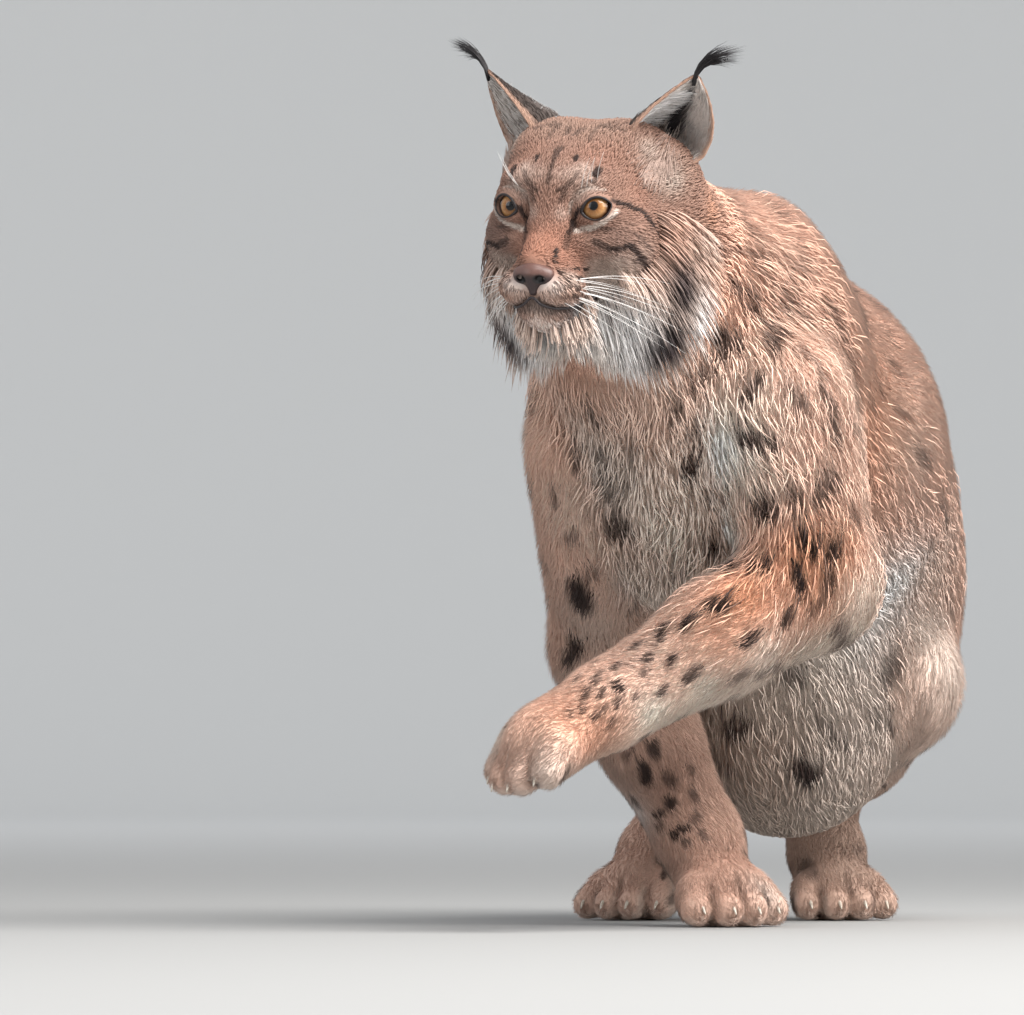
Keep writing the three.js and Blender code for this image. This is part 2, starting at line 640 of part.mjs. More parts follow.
let seed = 7;
const chance = (low, high) => {
  seed = (seed * 16807) % 2147483647;
  return low + ((high - low) * seed) / 2147483647;
};

// A lock from root over bend to tip. It is thin along flat, widest a third of the way, and runs out to a point.
function lock({ root, bend, tip, width, thick, flat, clear }) {
  const curve = new THREE.QuadraticBezierCurve3(root, bend, tip);
  const shares = [0, 0.3, 0.6, 0.85];
  const centres = [...shares, 1].map((t) => clear(curve.getPoint(t), t));
  const rings = shares.map((t, k) => {
    const way = along(centres[k], centres[k + 1]).normalize();
    const side = flat.clone().cross(way).normalize();
    const out = way.clone().cross(side);
    const full = Math.sin(Math.PI * (0.22 + 0.72 * t)) ** 0.8;
    return [[1, 0], [0, 1], [-1, 0], [0, -1]].map(([u, v]) =>
      centres[k].clone().addScaledVector(side, (u * width * full) / 2).addScaledVector(out, (v * thick * full) / 2),
    );
  });
  return ringed(rings, centres.at(-1));
}

// Three tiers of locks sweep back from each cheek and down under the jaw, like shingles
const RUFF_TIERS = [
  { from: -16, share: 0.86 },
  { from: 2, share: 0.95 },
  { from: 20, share: 1 },
];
const ruffLocks = [];
for (const side of [LEFT, RIGHT])
  RUFF_TIERS.forEach(({ from, share }, tier) => {
    for (let n = 0; n < RUFF.locks; n++) {
      const part = (n + 0.5 * (tier % 2)) / (RUFF.locks - 0.5); // 0 below the ear, 1 under the chin
      const low = THREE.MathUtils.degToRad(-16 + 100 * part + chance(-2, 2));
      const ray = V(Math.cos(low) * side, 0, -Math.sin(low));
      const root = onto(localField, V(56 * ray.x, from - 24 * part ** 2, -12 + 56 * ray.z), -6);
      const way = V(side * (0.44 - 0.26 * part + chance(-0.06, 0.06)), 0.5 - 0.45 * part, -0.6 - 0.4 * part).normalize();
      const long = RUFF.length * share * (0.8 + 0.55 * Math.sin(Math.PI * part ** 1.4)) * chance(0.92, 1.06);
      const tip = root.clone().addScaledVector(way, long);
      const bend = midway(root, tip, 0.5).addScaledVector(ray, 9);
      const clear = (p, t) => {
        const height = -6 + 19 * t ** 0.8;
        return localField(p.x, p.y, p.z) < height ? onto(localField, p, height) : p;
      };
      const flat = ray.clone().add(V(0, -0.7, 0)).normalize();
      ruffLocks.push(lock({ root, bend, tip, width: RUFF.width * chance(0.85, 1.15), thick: RUFF.thick, flat, clear }));
    }
  });

headSolid = wasm.Manifold.union([headSolid, ...ruffLocks]);
const neckBox = fleshIn(fleshField, [V(-160, -150, 300), V(150, 180, 660)], NECK_CELL).intersect(beyond(...NECK_CUT, 0, 600));
const neck = largest(neckBox.intersect(inWorld(beyond(...NECK_FACE, -CUT_GAP, 600))).subtract(claimed));
place("neck", neck, COAT);
const head = largest(inWorld(headSolid).subtract(grown(torso, CUT_GAP)).subtract(grown(neck, CUT_GAP)));
place("head", head, COAT);
place("nose", inWorld(noseSolid.subtract(nostril(LEFT)).subtract(nostril(RIGHT))), NOSE_SKIN);

// A fan of locks at the tip of an ear, swept outwards
function earTuft(side) {
  const tip = mirrored(EAR_TIP, side);
  return Array.from({ length: TUFT.locks }, (_, n) => {
    const fan = n / (TUFT.locks - 1) - 0.5;
    const long = TUFT.length * (1 - 0.5 * Math.abs(fan)) * chance(0.9, 1.05);
    const way = V(0.74 * side, 0.22 + 0.5 * fan, 0.5 - 0.55 * fan).normalize();
    const start = tip.clone().add(V(-1.5 * side, fan * 3, -7));
    return lock({
      root: start,
      bend: tip.clone().add(V(2 * side, fan * 4, 14)),
      tip: tip.clone().addScaledVector(way, long),
      width: TUFT.width,
      thick: TUFT.thick,
      flat: V(0.2 * side, -0.9, 0.3).normalize(),
      clear: (p) => p,
    });
  });
}

for (const [name, side] of [["left", LEFT], ["right", RIGHT]]) {
  place("eye_" + name, inWorld(eyeFront(side, 0)), EYE_GLASS);
  const ear = wasm.Manifold.union([earCup(side), ...earTuft(side)]);
  place("ear_" + name, inWorld(ear).subtract(grown(head, CUT_GAP)), DARK_COAT);
}

// The origin is on the floor, under the middle of the whole model
const extent = new THREE.Box3().setFromObject(lynx);
const centre = extent.getCenter(V(0, 0, 0));
lynx.position.set(-centre.x, -centre.y, -extent.min.z);

export default lynx;
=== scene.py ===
import math

import bmesh
import bpy
import numpy as np
import openvdb
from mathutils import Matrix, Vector
from mathutils.bvhtree import BVHTree


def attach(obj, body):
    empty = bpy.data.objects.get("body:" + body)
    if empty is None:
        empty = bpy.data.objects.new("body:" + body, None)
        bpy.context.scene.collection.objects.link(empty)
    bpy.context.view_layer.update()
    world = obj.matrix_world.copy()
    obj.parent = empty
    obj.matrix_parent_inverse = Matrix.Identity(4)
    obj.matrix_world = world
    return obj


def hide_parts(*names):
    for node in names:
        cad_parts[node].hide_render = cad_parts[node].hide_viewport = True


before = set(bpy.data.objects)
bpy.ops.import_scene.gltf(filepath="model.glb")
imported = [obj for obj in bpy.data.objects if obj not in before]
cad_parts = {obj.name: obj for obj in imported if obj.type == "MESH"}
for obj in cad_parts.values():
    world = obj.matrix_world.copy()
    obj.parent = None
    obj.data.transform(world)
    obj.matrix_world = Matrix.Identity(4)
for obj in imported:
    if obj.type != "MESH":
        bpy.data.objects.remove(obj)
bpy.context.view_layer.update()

# The flesh of a Eurasian lynx, standing low on its paws with its left forepaw lifted across its chest.
# Its form is a distance field of tapered limbs and ovals, in millimetres, with the same sizes and
# joints as the solids. The animal faces -Y and its left side is +X.
ORIGIN_SHIFT = np.array([5.5618, -230.5356, 0.0])
CHEST, LOIN, CROUP, PELVIS = (2, 112, 400), (4, 250, 360), (4, 370, 318), (0, 476, 296)
NECK_BASE, NECK_TOP = (-2, 72, 452), (-20, -38, 500)
LIFTED = dict(shoulder=(80, 14, 388), elbow=(104, 34, 262), wrist=(-28, -74, 168), toes=(-88, -142, 122))
BEARING = dict(shoulder=(-76, 60, 364), elbow=(-92, 152, 212), wrist=(-24, 180, 66), toes=(24, 118, 0))
HIND_LEFT = dict(hip=(40, 476, 302), knee=(94, 340, 186), hock=(-14, 490, 98), toes=(42, 384, 0))
HIND_RIGHT = dict(hip=(-58, 468, 302), knee=(-112, 328, 192), hock=(-108, 470, 98), toes=(-130, 342, 0))
TAIL_ROOT, TAIL_MIDDLE, TAIL_TIP = (-4, 540, 318), (-8, 592, 262), (-4, 622, 188)
PAW_LENGTH = 100
PAW_WIDTH = 88
TOES = (-1.5, -0.5, 0.5, 1.5)
UP = np.array([0.0, 0.0, 1.0])
ACROSS = np.array([1.0, 0.0, 0.0])
FAR = 400.0


def unit(v):
    """A vector, or each row of an array of them, divided by its length."""
    v = np.asarray(v, float)
    return v / np.maximum(np.linalg.norm(v, axis=-1, keepdims=True), 1e-9)


def midway(a, b, t):
    """The point a share t of the way from a to b."""
    return np.asarray(a, float) + t * (np.asarray(b, float) - np.asarray(a, float))


def smooth(low, high, x):
    """0 below low, 1 above high, and between them 3t^2 - 2t^3 of the share t of the way."""
    t = np.clip((x - low) / (high - low), 0, 1)
    return t * t * (3 - 2 * t)


def limb(a, b, ra, rb, side=None, squeeze=1.0):
    """A tapered limb: distance to the line from a to b, less a radius that runs from ra to rb."""
    a = np.asarray(a, float)
    d = np.asarray(b, float) - a

    def field(p):
        q = p - a
        t = np.clip(q @ d / (d @ d), 0, 1)
        q = q - t[:, None] * d
        if side is not None:
            q = q + (squeeze - 1) * (q @ side)[:, None] * side
        return np.sqrt((q * q).sum(1)) - ra - t * (rb - ra)

    return field


def turned(tilt, swing):
    """Turns by tilt about X, then by swing about Z, in degrees, as a 3 by 3 matrix."""
    ct, st = math.cos(math.radians(tilt)), math.sin(math.radians(tilt))
    cs, ss = math.cos(math.radians(swing)), math.sin(math.radians(swing))
    about_z = np.array([[cs, -ss, 0], [ss, cs, 0], [0, 0, 1]])
    return about_z @ np.array([[1, 0, 0], [0, ct, -st], [0, st, ct]])


def oval(c, rx, ry, rz, tilt=0, swing=0):
    """An oval of half sizes rx, ry, rz: k (k - 1) over the slope of k, with k the length of p over them."""
    c = np.asarray(c, float)
    turn = turned(tilt, swing)
    size = np.array([rx, ry, rz], float)

    def field(p):
        q = (p - c) @ turn / size
        k = np.sqrt((q * q).sum(1))
        q /= size
        return k * (k - 1) / np.maximum(np.sqrt((q * q).sum(1)), 1e-9)

    return field


def melt(a, b, k):
    """The lesser of two distances, rounded over a width k: less h^2 k / 4, with h = 1 - |a - b| / k."""
    k = np.maximum(k, 1e-6)
    h = np.maximum(k - np.abs(a - b), 0) / k
    return np.minimum(a, b) - h * h * k * 0.25


def carve(a, b, k):
    """Distance a with the form b cut from it, the edge rounded over a width k."""
    return -melt(-a, b, k)


def together(k, fields):
    """Several forms melted into one over a width k."""

    def field(p):
        total = fields[0](p)
        for one in fields[1:]:
            total = melt(total, one(p), k)
        return total

    return field


def both(make):
    """The same form on the left and the right."""
    return [make(1), make(-1)]


trunk = together(40, [
    limb(CHEST, LOIN, 136, 152, ACROSS, 1.06),
    limb(LOIN, CROUP, 152, 132, ACROSS, 1.05),
    limb(CROUP, PELVIS, 132, 98, ACROSS, 1.05),
    limb((6, 40, 405), (4, 92, 296), 82, 68),
    oval((10, 314, 184), 98, 128, 119, -4),
    oval((40, 146, 480), 46, 64, 80, -14),
    oval((-44, 146, 476), 46, 64, 74, -14),
])
neck = limb(NECK_BASE, NECK_TOP, 112, 84)


def paw_frame(at, forward, up):
    """A paw's own frame, from shares of its length and width and a height to a point."""
    f = unit(forward)
    u = unit(up - (up @ f) * f)
    s = unit(np.cross(u, f))
    return lambda fore, aside, height: at + f * fore * PAW_LENGTH + s * aside * PAW_WIDTH + u * height


def toe_tip(n):
    """Where a toe ends, as shares of the paw's length and width: on an arc, farthest in the middle."""
    return 0.36 - 0.055 * n * n, n * 0.235


def paw_form(place, ankle, size):
    """Four toes in an arc before a broad furry pad."""
    toes = [
        limb(place(0.06, n * 0.18, 27 * size), place(*toe_tip(n), 13.5 * size), 17 * size, 15 * size)
        for n in TOES
    ]
    pad = limb(place(-0.2, 0, 20 * size), place(0.1, 0, 22 * size), 25 * size, 27 * size)
    wide = limb(place(0.02, -0.2, 20 * size), place(0.02, 0.2, 20 * size), 21 * size, 21 * size)
    pastern = limb(ankle, place(-0.04, 0, 30 * size), 33 * size, 27 * size)
    flesh = together(15, [pad, wide, pastern])
    toed = together(5, toes)
    return lambda p: melt(flesh(p), toed(p), 7)


def joined(a, b, k):
    """Two forms melted over a width k."""
    return lambda p: melt(a(p), b(p), k)


LIFTED_UP = np.array([-0.25, -0.32, 0.91])
BEARING_WAY = np.array([0.62, -0.78, 0.0])
HIND_LEFT_WAY = np.array([0.5, -0.866, 0.0])
HIND_RIGHT_WAY = np.array([-0.1, -0.995, 0.0])
lifted_frame = paw_frame(
    midway(LIFTED["wrist"], LIFTED["toes"], 0.6) - 24 * LIFTED_UP,
    np.subtract(LIFTED["toes"], LIFTED["wrist"]).astype(float),
    LIFTED_UP,
)
bearing_frame = paw_frame(BEARING["toes"] - 34 * BEARING_WAY, BEARING_WAY, UP)


def lifted_leg():
    """Upper arm, two lengths of forearm and the shoulder's muscle, melted together, and the lifted paw."""
    s, e, w = (np.array(LIFTED[k], float) for k in ("shoulder", "elbow", "wrist"))
    fore = midway(e, w, 0.45)
    bones = together(20, [
        limb(s, e, 66, 54, np.array([0.9, 0.4, 0.0]), 1.1),
        limb(e, fore, 54, 47),
        limb(fore, w, 47, 34),
        oval(midway(s, e, 0.35) + (8, 26, 0), 44, 62, 74, -10),
    ])
    return joined(bones, paw_form(lifted_frame, w, 0.98), 16)


def bearing_leg():
    """The other foreleg, of the same forms, on the paw that bears the weight."""
    s, e, w = (np.array(BEARING[k], float) for k in ("shoulder", "elbow", "wrist"))
    fore = midway(e, w, 0.45)
    bones = together(20, [
        limb(s, e, 62, 48, ACROSS, 1.12),
        limb(e, fore, 47, 42),
        limb(fore, w, 42, 34),
        oval(midway(s, e, 0.4) + (2, 14, 0), 40, 60, 82, -18),
    ])
    return joined(bones, paw_form(bearing_frame, w, 1), 16)


def hind_leg(joints, way):
    """Thigh, two lengths of shin, the foot below the hock and two muscles, melted together, and the paw."""
    hip, knee, hock, toes = (np.array(joints[k], float) for k in ("hip", "knee", "hock", "toes"))
    heel = toes - 30 * way
    ankle = midway(hock, (heel[0], heel[1], 24), 0.62)
    out = np.sign(hip[0])
    shin = midway(knee, hock, 0.5)
    bones = together(26, [
        limb(hip, knee, 84, 54, ACROSS, 1.14),
        limb(knee, shin, 54, 44),
        limb(shin, hock, 44, 32),
        limb(hock, ankle, 31, 29),
        oval((hip[0] * 0.9, hip[1] + 8, hip[2] - 8), 54, 76, 82, -15),
        oval(midway(hip, knee, 0.55) + (out * 4, 26, -22), 46, 66, 62, 20),
    ])
    return joined(bones, paw_form(paw_frame(heel, way, UP), ankle, 0.94), 14)


tail = together(14, [limb(TAIL_ROOT, TAIL_MIDDLE, 42, 36), limb(TAIL_MIDDLE, TAIL_TIP, 36, 31)])
# Each limb: its form, the width and place of its blend with the body, and the box that holds it
LIMBS = [
    (
        lifted_leg(), 52, midway(LIFTED["shoulder"], LIFTED["elbow"], 0.1), 170, (-190, -250, 30),
        (230, 190, 520),
    ),
    (
        bearing_leg(), 52, midway(BEARING["shoulder"], BEARING["elbow"], 0.2), 180, (-230, -60, -50),
        (150, 300, 510),
    ),
    (
        hind_leg(HIND_LEFT, HIND_LEFT_WAY), 62, midway(HIND_LEFT["hip"], HIND_LEFT["knee"], 0.4), 230,
        (-120, 200, -50), (230, 660, 480),
    ),
    (
        hind_leg(HIND_RIGHT, HIND_RIGHT_WAY), 62, midway(HIND_RIGHT["hip"], HIND_RIGHT["knee"], 0.4), 230,
        (-240, 190, -50), (110, 660, 480),
    ),
    (tail, 40, np.array(TAIL_ROOT, float), 110, (-130, 450, 70), (120, 740, 460)),
]

# The head, in its own frame: x to its left, -y to its nose, z up. It is turned, nodded and tilted.
HEAD_AT = np.array([-35.0, -100.0, 530.0])
HEAD_TURN, HEAD_NOD, HEAD_TILT = -11, 7, 3
EYE = np.array([33.5, -49.0, 11.0])
EYE_RADIUS = 14
LID = 2.4
lean = math.radians(HEAD_TILT)
HEAD_TURNED = (
    turned(0, HEAD_TURN)
    @ np.array([[math.cos(lean), 0, math.sin(lean)], [0, 1, 0], [-math.sin(lean), 0, math.cos(lean)]])
    @ turned(HEAD_NOD, 0)
)


def in_head(p):
    """Points in the head's own frame."""
    return (p - HEAD_AT) @ HEAD_TURNED


def from_head(q):
    """Points of the head's own frame, back among the body's."""
    return np.asarray(q, float) @ HEAD_TURNED.T + HEAD_AT


skull = together(16, [
    oval((0, 10, 20), 61, 74, 53),
    oval((0, -28, 10), 50, 38, 42),
    *both(lambda s: oval((30 * s, 8, 42), 33, 40, 32)),
    *both(lambda s: oval((53 * s, 25, 20), 27, 36, 38)),
    *both(lambda s: oval((41 * s, -12, -14), 28, 42, 34, 0, 14 * s)),
    *both(lambda s: oval((40 * s, 14, -28), 27, 40, 38, 12, 10 * s)),
    oval((0, 8, -40), 38, 48, 32),
])
muzzle = together(9, [
    limb((0, -34, -20), (0, -66, -36), 30, 25),
    limb((0, -38, 8), (0, -82, -25), 18, 13),
    *both(lambda s: oval((15.5 * s, -76, -46), 19, 19, 14.5, -8, 18 * s)),
    oval((0, -58, -64), 26, 31, 18, -10),
])
brows = both(lambda s: oval((30 * s, -44, 29), 21, 14, 10, -14, 26 * s))
cheeks = both(lambda s: oval((34 * s, -48, -14), 20, 14, 12, 0, 34 * s))
sockets = both(lambda s: oval((EYE[0] * s, EYE[1] - 9, EYE[2]), 17, 12, 14))


def face(q):
    """Skull, muzzle, brows and cheeks, with the eye sockets cut in."""
    d = melt(skull(q), muzzle(q), 15)
    for brow in brows:
        d = melt(d, brow(q), 12)
    for cheek in cheeks:
        d = melt(d, cheek(q), 14)
    for socket in sockets:
        d = carve(d, socket(q), 8)
    return d


def where(mask, field, p):
    """A field worked out only where mask holds, and far away elsewhere."""
    d = np.full(len(p), FAR)
    if mask.any():
        d[mask] = field(p[mask])
    return d


def flesh(p):
    """The whole animal: trunk, neck, head and limbs, each blended where it grows from the body."""
    d = melt(trunk(p), neck(p), 60)
    near = np.linalg.norm(p - HEAD_AT, axis=1) < 190
    d = melt(d, where(near, lambda q: face(in_head(q)), p), 26)
    for form, width, joint, reach, low, high in LIMBS:
        near = ((p > low) & (p < high)).all(1)
        k = width * (1 - np.linalg.norm(p - joint, axis=1) / reach)
        d = melt(d, where(near, form, p), np.maximum(k, 0))
    return d


# Skin under the coat, one closed sheet over body, legs and head. It lies inside the solids by the coat's depth:
# least on muzzle, face and paws, most on body and neck. Its points lie on the zero of the skin's field.
PAWS = [
    lifted_frame(0.1, 0, 20), bearing_frame(0.1, 0, 20), np.add(HIND_LEFT["toes"], (-12, 22, 15)),
    np.add(HIND_RIGHT["toes"], (3, 25, 15)),
]
MUZZLE_AT = from_head((0, -70, -40))
BODY_DEPTH, FACE_DEPTH, PAW_DEPTH = 8.5, 1.6, 2.4
SKIN_CELL = 5.6


def coat_depth(p):
    """How far the skin lies inside the coat's outside."""
    depth = FACE_DEPTH + (BODY_DEPTH - FACE_DEPTH) * smooth(70, 210, np.linalg.norm(p - MUZZLE_AT, axis=1))
    for paw in PAWS:
        share = smooth(45, 210, np.linalg.norm(p - paw, axis=1))
        depth = np.minimum(depth, PAW_DEPTH + (BODY_DEPTH - PAW_DEPTH) * share)
    return depth


def skin_field(p):
    """The whole animal's distance plus the depth of the coat: its zero is the skin."""
    return flesh(p) + coat_depth(p)


def slope(field, p, h=0.4):
    """How a field changes along x, y and z, by differences over h."""
    here = field(p)
    grad = np.stack([field(p + h * axis) - here for axis in np.eye(3)], axis=1) / h
    return here, grad


def settled(p, field, steps=2, level=0.0):
    """Points moved along the slope of a field until it is level."""
    for _ in range(steps):
        here, grad = slope(field, p)
        p = p - grad * ((here - level) / np.maximum((grad * grad).sum(1), 0.3))[:, None]
    return p


def meshed(field, low, high, cell):
    """Closed quads at the zero of a field, from a coarse grid first and a fine one only near the zero."""
    coarse = 4
    low = np.asarray(low, float)
    blocks = np.ceil((np.asarray(high) - low) / (cell * coarse)).astype(int)
    at = np.stack(np.meshgrid(*[np.arange(n) for n in blocks], indexing="ij"), axis=-1)
    middles = low + (at.reshape(-1, 3) * coarse + (coarse - 1) / 2) * cell
    rough = field(middles)
    near = np.abs(rough) < coarse * cell * 1.35
    inner = np.stack(np.meshgrid(*[np.arange(coarse)] * 3, indexing="ij"), axis=-1).reshape(-1, 3)
    cells = at.reshape(-1, 3)[near][:, None, :] * coarse + inner[None]
    values = np.repeat(np.repeat(np.repeat(rough.reshape(blocks), coarse, 0), coarse, 1), coarse, 2)
    fine = field(low + cells.reshape(-1, 3) * cell)
    values[tuple(cells.reshape(-1, 3).T)] = fine
    grid = openvdb.FloatGrid(FAR)
    grid.copyFromArray(values.astype(np.float32))
    points, quads = grid.convertToQuads(0.0)
    return low + points.astype(float) * cell, quads.astype(int)


def read(rows, key, width=1, kind=float):
    """One value, or a few, of every row of a mesh, as an array."""
    found = np.zeros(len(rows) * width, dtype=kind)
    rows.foreach_get(key, found)
    return found.reshape(-1, width) if width > 1 else found


def refined(points, quads, chosen):
    """The mesh with every edge halved whose two ends are chosen."""
    mesh = bpy.data.meshes.new("refined")
    mesh.from_pydata(points, [], quads)
    bm = bmesh.new()
    bm.from_mesh(mesh)
    bm.verts.ensure_lookup_table()
    edges = [e for e in bm.edges if chosen[e.verts[0].index] and chosen[e.verts[1].index]]
    bmesh.ops.subdivide_edges(bm, edges=edges, cuts=1, use_grid_fill=True)
    bmesh.ops.triangulate(bm, faces=[f for f in bm.faces if len(f.verts) > 4])
    bm.to_mesh(mesh)
    bm.free()
    found = read(mesh.vertices, "co", 3)
    faces = [tuple(f.vertices) for f in mesh.polygons]
    bpy.data.meshes.remove(mesh)
    return found, faces


def evened(points, faces, share=0.5):
    """Each point moved a share of the way to the middle of the points that it is joined to."""
    pairs = np.concatenate([np.stack([np.array(f), np.roll(f, -1)], axis=1) for f in faces])
    pairs = np.concatenate([pairs, pairs[:, ::-1]])
    count = np.bincount(pairs[:, 0], minlength=len(points))
    total = np.stack(
        [np.bincount(pairs[:, 0], points[pairs[:, 1], k], len(points)) for k in range(3)], axis=1
    )
    return points + share * (total / np.maximum(count, 1)[:, None] - points)


skin_points, skin_faces = meshed(skin_field, (-210, -215, -25), (215, 690, 660), SKIN_CELL)
for _ in range(2):
    skin_points = settled(evened(skin_points, skin_faces), skin_field, 1)
head_at = in_head(skin_points)
by_paw = np.min([np.linalg.norm(skin_points - paw, axis=1) for paw in PAWS], axis=0) < 72
skin_points, skin_faces = refined(
    skin_points, skin_faces, by_paw | (np.linalg.norm(head_at - (0, -5, 0), axis=1) < 104)
)
head_at = in_head(skin_points)
in_face = (head_at[:, 1] < -18) & (np.abs(head_at[:, 0]) < 62) & (head_at[:, 2] > -86) & (head_at[:, 2] < 48)
skin_points, skin_faces = refined(skin_points, skin_faces, in_face)
fine = np.linalg.norm(in_head(skin_points) - (0, -5, 0), axis=1) < 112
fine |= np.min([np.linalg.norm(skin_points - paw, axis=1) for paw in PAWS], axis=0) < 78
for share in (0.5, 0.3):
    moved = evened(skin_points, skin_faces, share)
    skin_points[fine] = settled(moved[fine], skin_field, 1)


def eye_axes(side):
    """The eye's frame: across to its outer corner, up, and out along the gaze."""
    gaze = unit((math.sin(0.35) * side, -math.cos(0.35), 0.05))
    across = unit((math.cos(0.35) * side, math.sin(0.35), 0.27))
    return across, unit(np.cross(gaze, across)) * side, gaze


def from_eye(side, u, v, w):
    """A point of the eye's frame, in the head's."""
    across, up, gaze = eye_axes(side)
    centre = EYE * (side, 1, 1)
    return centre + np.multiply.outer(u, across) + np.multiply.outer(v, up) + np.multiply.outer(w, gaze)


OPENING_WIDTH, OPENING_HEIGHT = 23.0, 16.8
OPENING_DROP = -0.5


def almond(t, grow=0.0):
    """The outline between the lids: an ellipse, its height less 0.35 |cos t|^3 towards the corners."""
    a, b = OPENING_WIDTH / 2 + grow, OPENING_HEIGHT / 2 + grow
    return a * np.cos(t), b * np.sin(t) * (1 - 0.35 * np.abs(np.cos(t)) ** 3) - OPENING_DROP


def past_opening(u, v):
    """Roughly how far a point of the eye's frame lies outside the outline between the lids."""
    a, b = OPENING_WIDTH / 2, OPENING_HEIGHT / 2
    v = v + OPENING_DROP
    t = np.arctan2(v / b, u / a)
    narrowed = 1 - 0.35 * np.abs(np.cos(t)) ** 3
    return (np.hypot(u / a, v / (b * narrowed)) - 1) * b


# A groove parts each toe from the next, over its top and down its front.
PAW_FRAMES = [
    (lifted_frame, 0.98), (bearing_frame, 1.0),
    (paw_frame(HIND_LEFT["toes"] - 30 * HIND_LEFT_WAY, HIND_LEFT_WAY, UP), 0.94),
    (paw_frame(HIND_RIGHT["toes"] - 30 * HIND_RIGHT_WAY, HIND_RIGHT_WAY, UP), 0.94),
]


def between_toes(p):
    """How near each point is to a line between two toes: exp(-(gap / 2.6)^2) across it, faded at its ends."""
    near = np.zeros(len(p))
    for place, _ in PAW_FRAMES:
        at, fore = place(0, 0, 0), place(1, 0, 0) - place(0, 0, 0)
        side, up = place(0, 1, 0) - at, place(0, 0, 1) - at
        rel = p - at
        f, s, h = rel @ fore / PAW_LENGTH**2, rel @ side / PAW_WIDTH, rel @ up
        for n in (-1, 0, 1):
            line = n * (0.19 + 0.07 * np.clip((f - 0.05) / 0.35, 0, 1)) * PAW_WIDTH
            close = np.exp(-(((s - line) / 2.6) ** 2)) * smooth(0.2, 0.34, f) * smooth(2, 10, h)
            close *= smooth(0.75, 0.55, f)
            near = np.maximum(near, close * (np.abs(h) < 52) * (np.abs(s) < 50))
    return near


ways_out = unit(slope(skin_field, skin_points)[1])
TOE_GROOVE = 1.8
skin_points = skin_points - ways_out * (TOE_GROOVE * between_toes(skin_points))[:, None]

# Lids close over each eyeball, with a fold above and a softer one below, and leave the almond open.
head_at = in_head(skin_points)
for side in (1, -1):
    across, up, gaze = eye_axes(side)
    rel = head_at - EYE * (side, 1, 1)
    u, v, w = rel @ across, rel @ up, rel @ gaze
    rho = np.hypot(u, v)
    near = (rho < 27) & (w > -16) & (head_at[:, 1] < -26)
    shell = np.sqrt(np.maximum((EYE_RADIUS + LID) ** 2 - np.minimum(rho, 12.5) ** 2, 0))
    beyond = np.maximum(rho - 12.5, 0)
    lid = shell - 0.62 * beyond - 0.035 * beyond**2
    out = past_opening(u, v)
    raised = -melt(-w, -lid, 4)
    raised = w + (raised - w) * smooth(27, 22, rho)
    fold = np.where(v > 0, 1.1, 0.7) * np.exp(-(((out - 5.5) / 1.6) ** 2))
    pit = np.sqrt(np.maximum(EYE_RADIUS**2 - rho**2, 0)) - 2.5
    share = smooth(-1.2, 0.2, out)
    w_new = share * (raised - fold) + (1 - share) * pit
    head_at[near] += ((w_new - w)[:, None] * gaze)[near]
    edge = near & (out > -0.2) & (out < 1.1)
    inwards = ((0.25 - out) / OPENING_HEIGHT * 2)[:, None] * (
        u[:, None] * across + (v + OPENING_DROP)[:, None] * up
    )
    head_at[edge] += inwards[edge]

# The mouth is a crease between the lips, with the upper lip a little proud of it.
MOUTH = np.array(
    [(0, -92, -52), (7, -91, -57), (15, -86, -60), (23, -76, -60), (30, -63, -57), (35, -52, -52)], float
)
whole_mouth = np.concatenate([(MOUTH * (-1, 1, 1))[:0:-1], MOUTH])


def eased(path, count):
    """Points evenly along cubic pieces through a path, whose slopes are half the chord between neighbours."""
    path = np.asarray(path, float)
    padded = np.concatenate([[2 * path[0] - path[1]], path, [2 * path[-1] - path[-2]]])
    t = np.linspace(0, len(path) - 1, 40 * len(path))
    n = np.minimum(t.astype(int), len(path) - 2)
    f = (t - n)[:, None]
    a, b, c, d = padded[n], padded[n + 1], padded[n + 2], padded[n + 3]
    curve = b + 0.5 * f * (c - a + f * (2 * a - 5 * b + 4 * c - d + f * (3 * (b - c) + d - a)))
    run = np.concatenate([[0], np.cumsum(np.linalg.norm(np.diff(curve, axis=0), axis=1))])
    even = np.linspace(0, run[-1], count)
    return np.stack([np.interp(even, run, curve[:, k]) for k in range(3)], axis=1)


def nearest_on(path, p):
    """Distance from each point to the nearest point of a path, and that point's index."""
    gap = np.linalg.norm(p[:, None] - path[None], axis=2)
    return gap.min(1), gap.argmin(1)


mouth_line = eased(whole_mouth, 90)
close = (head_at[:, 1] < -40) & (head_at[:, 2] < -40)
gap, at = nearest_on(mouth_line, head_at[close])
above = head_at[close][:, 2] - mouth_line[at][:, 2]
outward = unit(head_at[close] - (0, -40, -50))
pushed = 0.9 * np.exp(-(((above - 4) / 3.0) ** 2)) * smooth(11, 5, gap) - 2.2 * np.exp(-((gap / 1.7) ** 2))
head_at[close] += outward * pushed[:, None]
skin_points = np.where(
    (np.linalg.norm(in_head(skin_points), axis=1) < 150)[:, None], from_head(head_at), skin_points
)
skin_points[:, 2] = np.maximum(skin_points[:, 2], 0.8)


def to_metres(p):
    """Points among the body's millimetres, in the row's frame and metres."""
    return (p + ORIGIN_SHIFT) / 1000


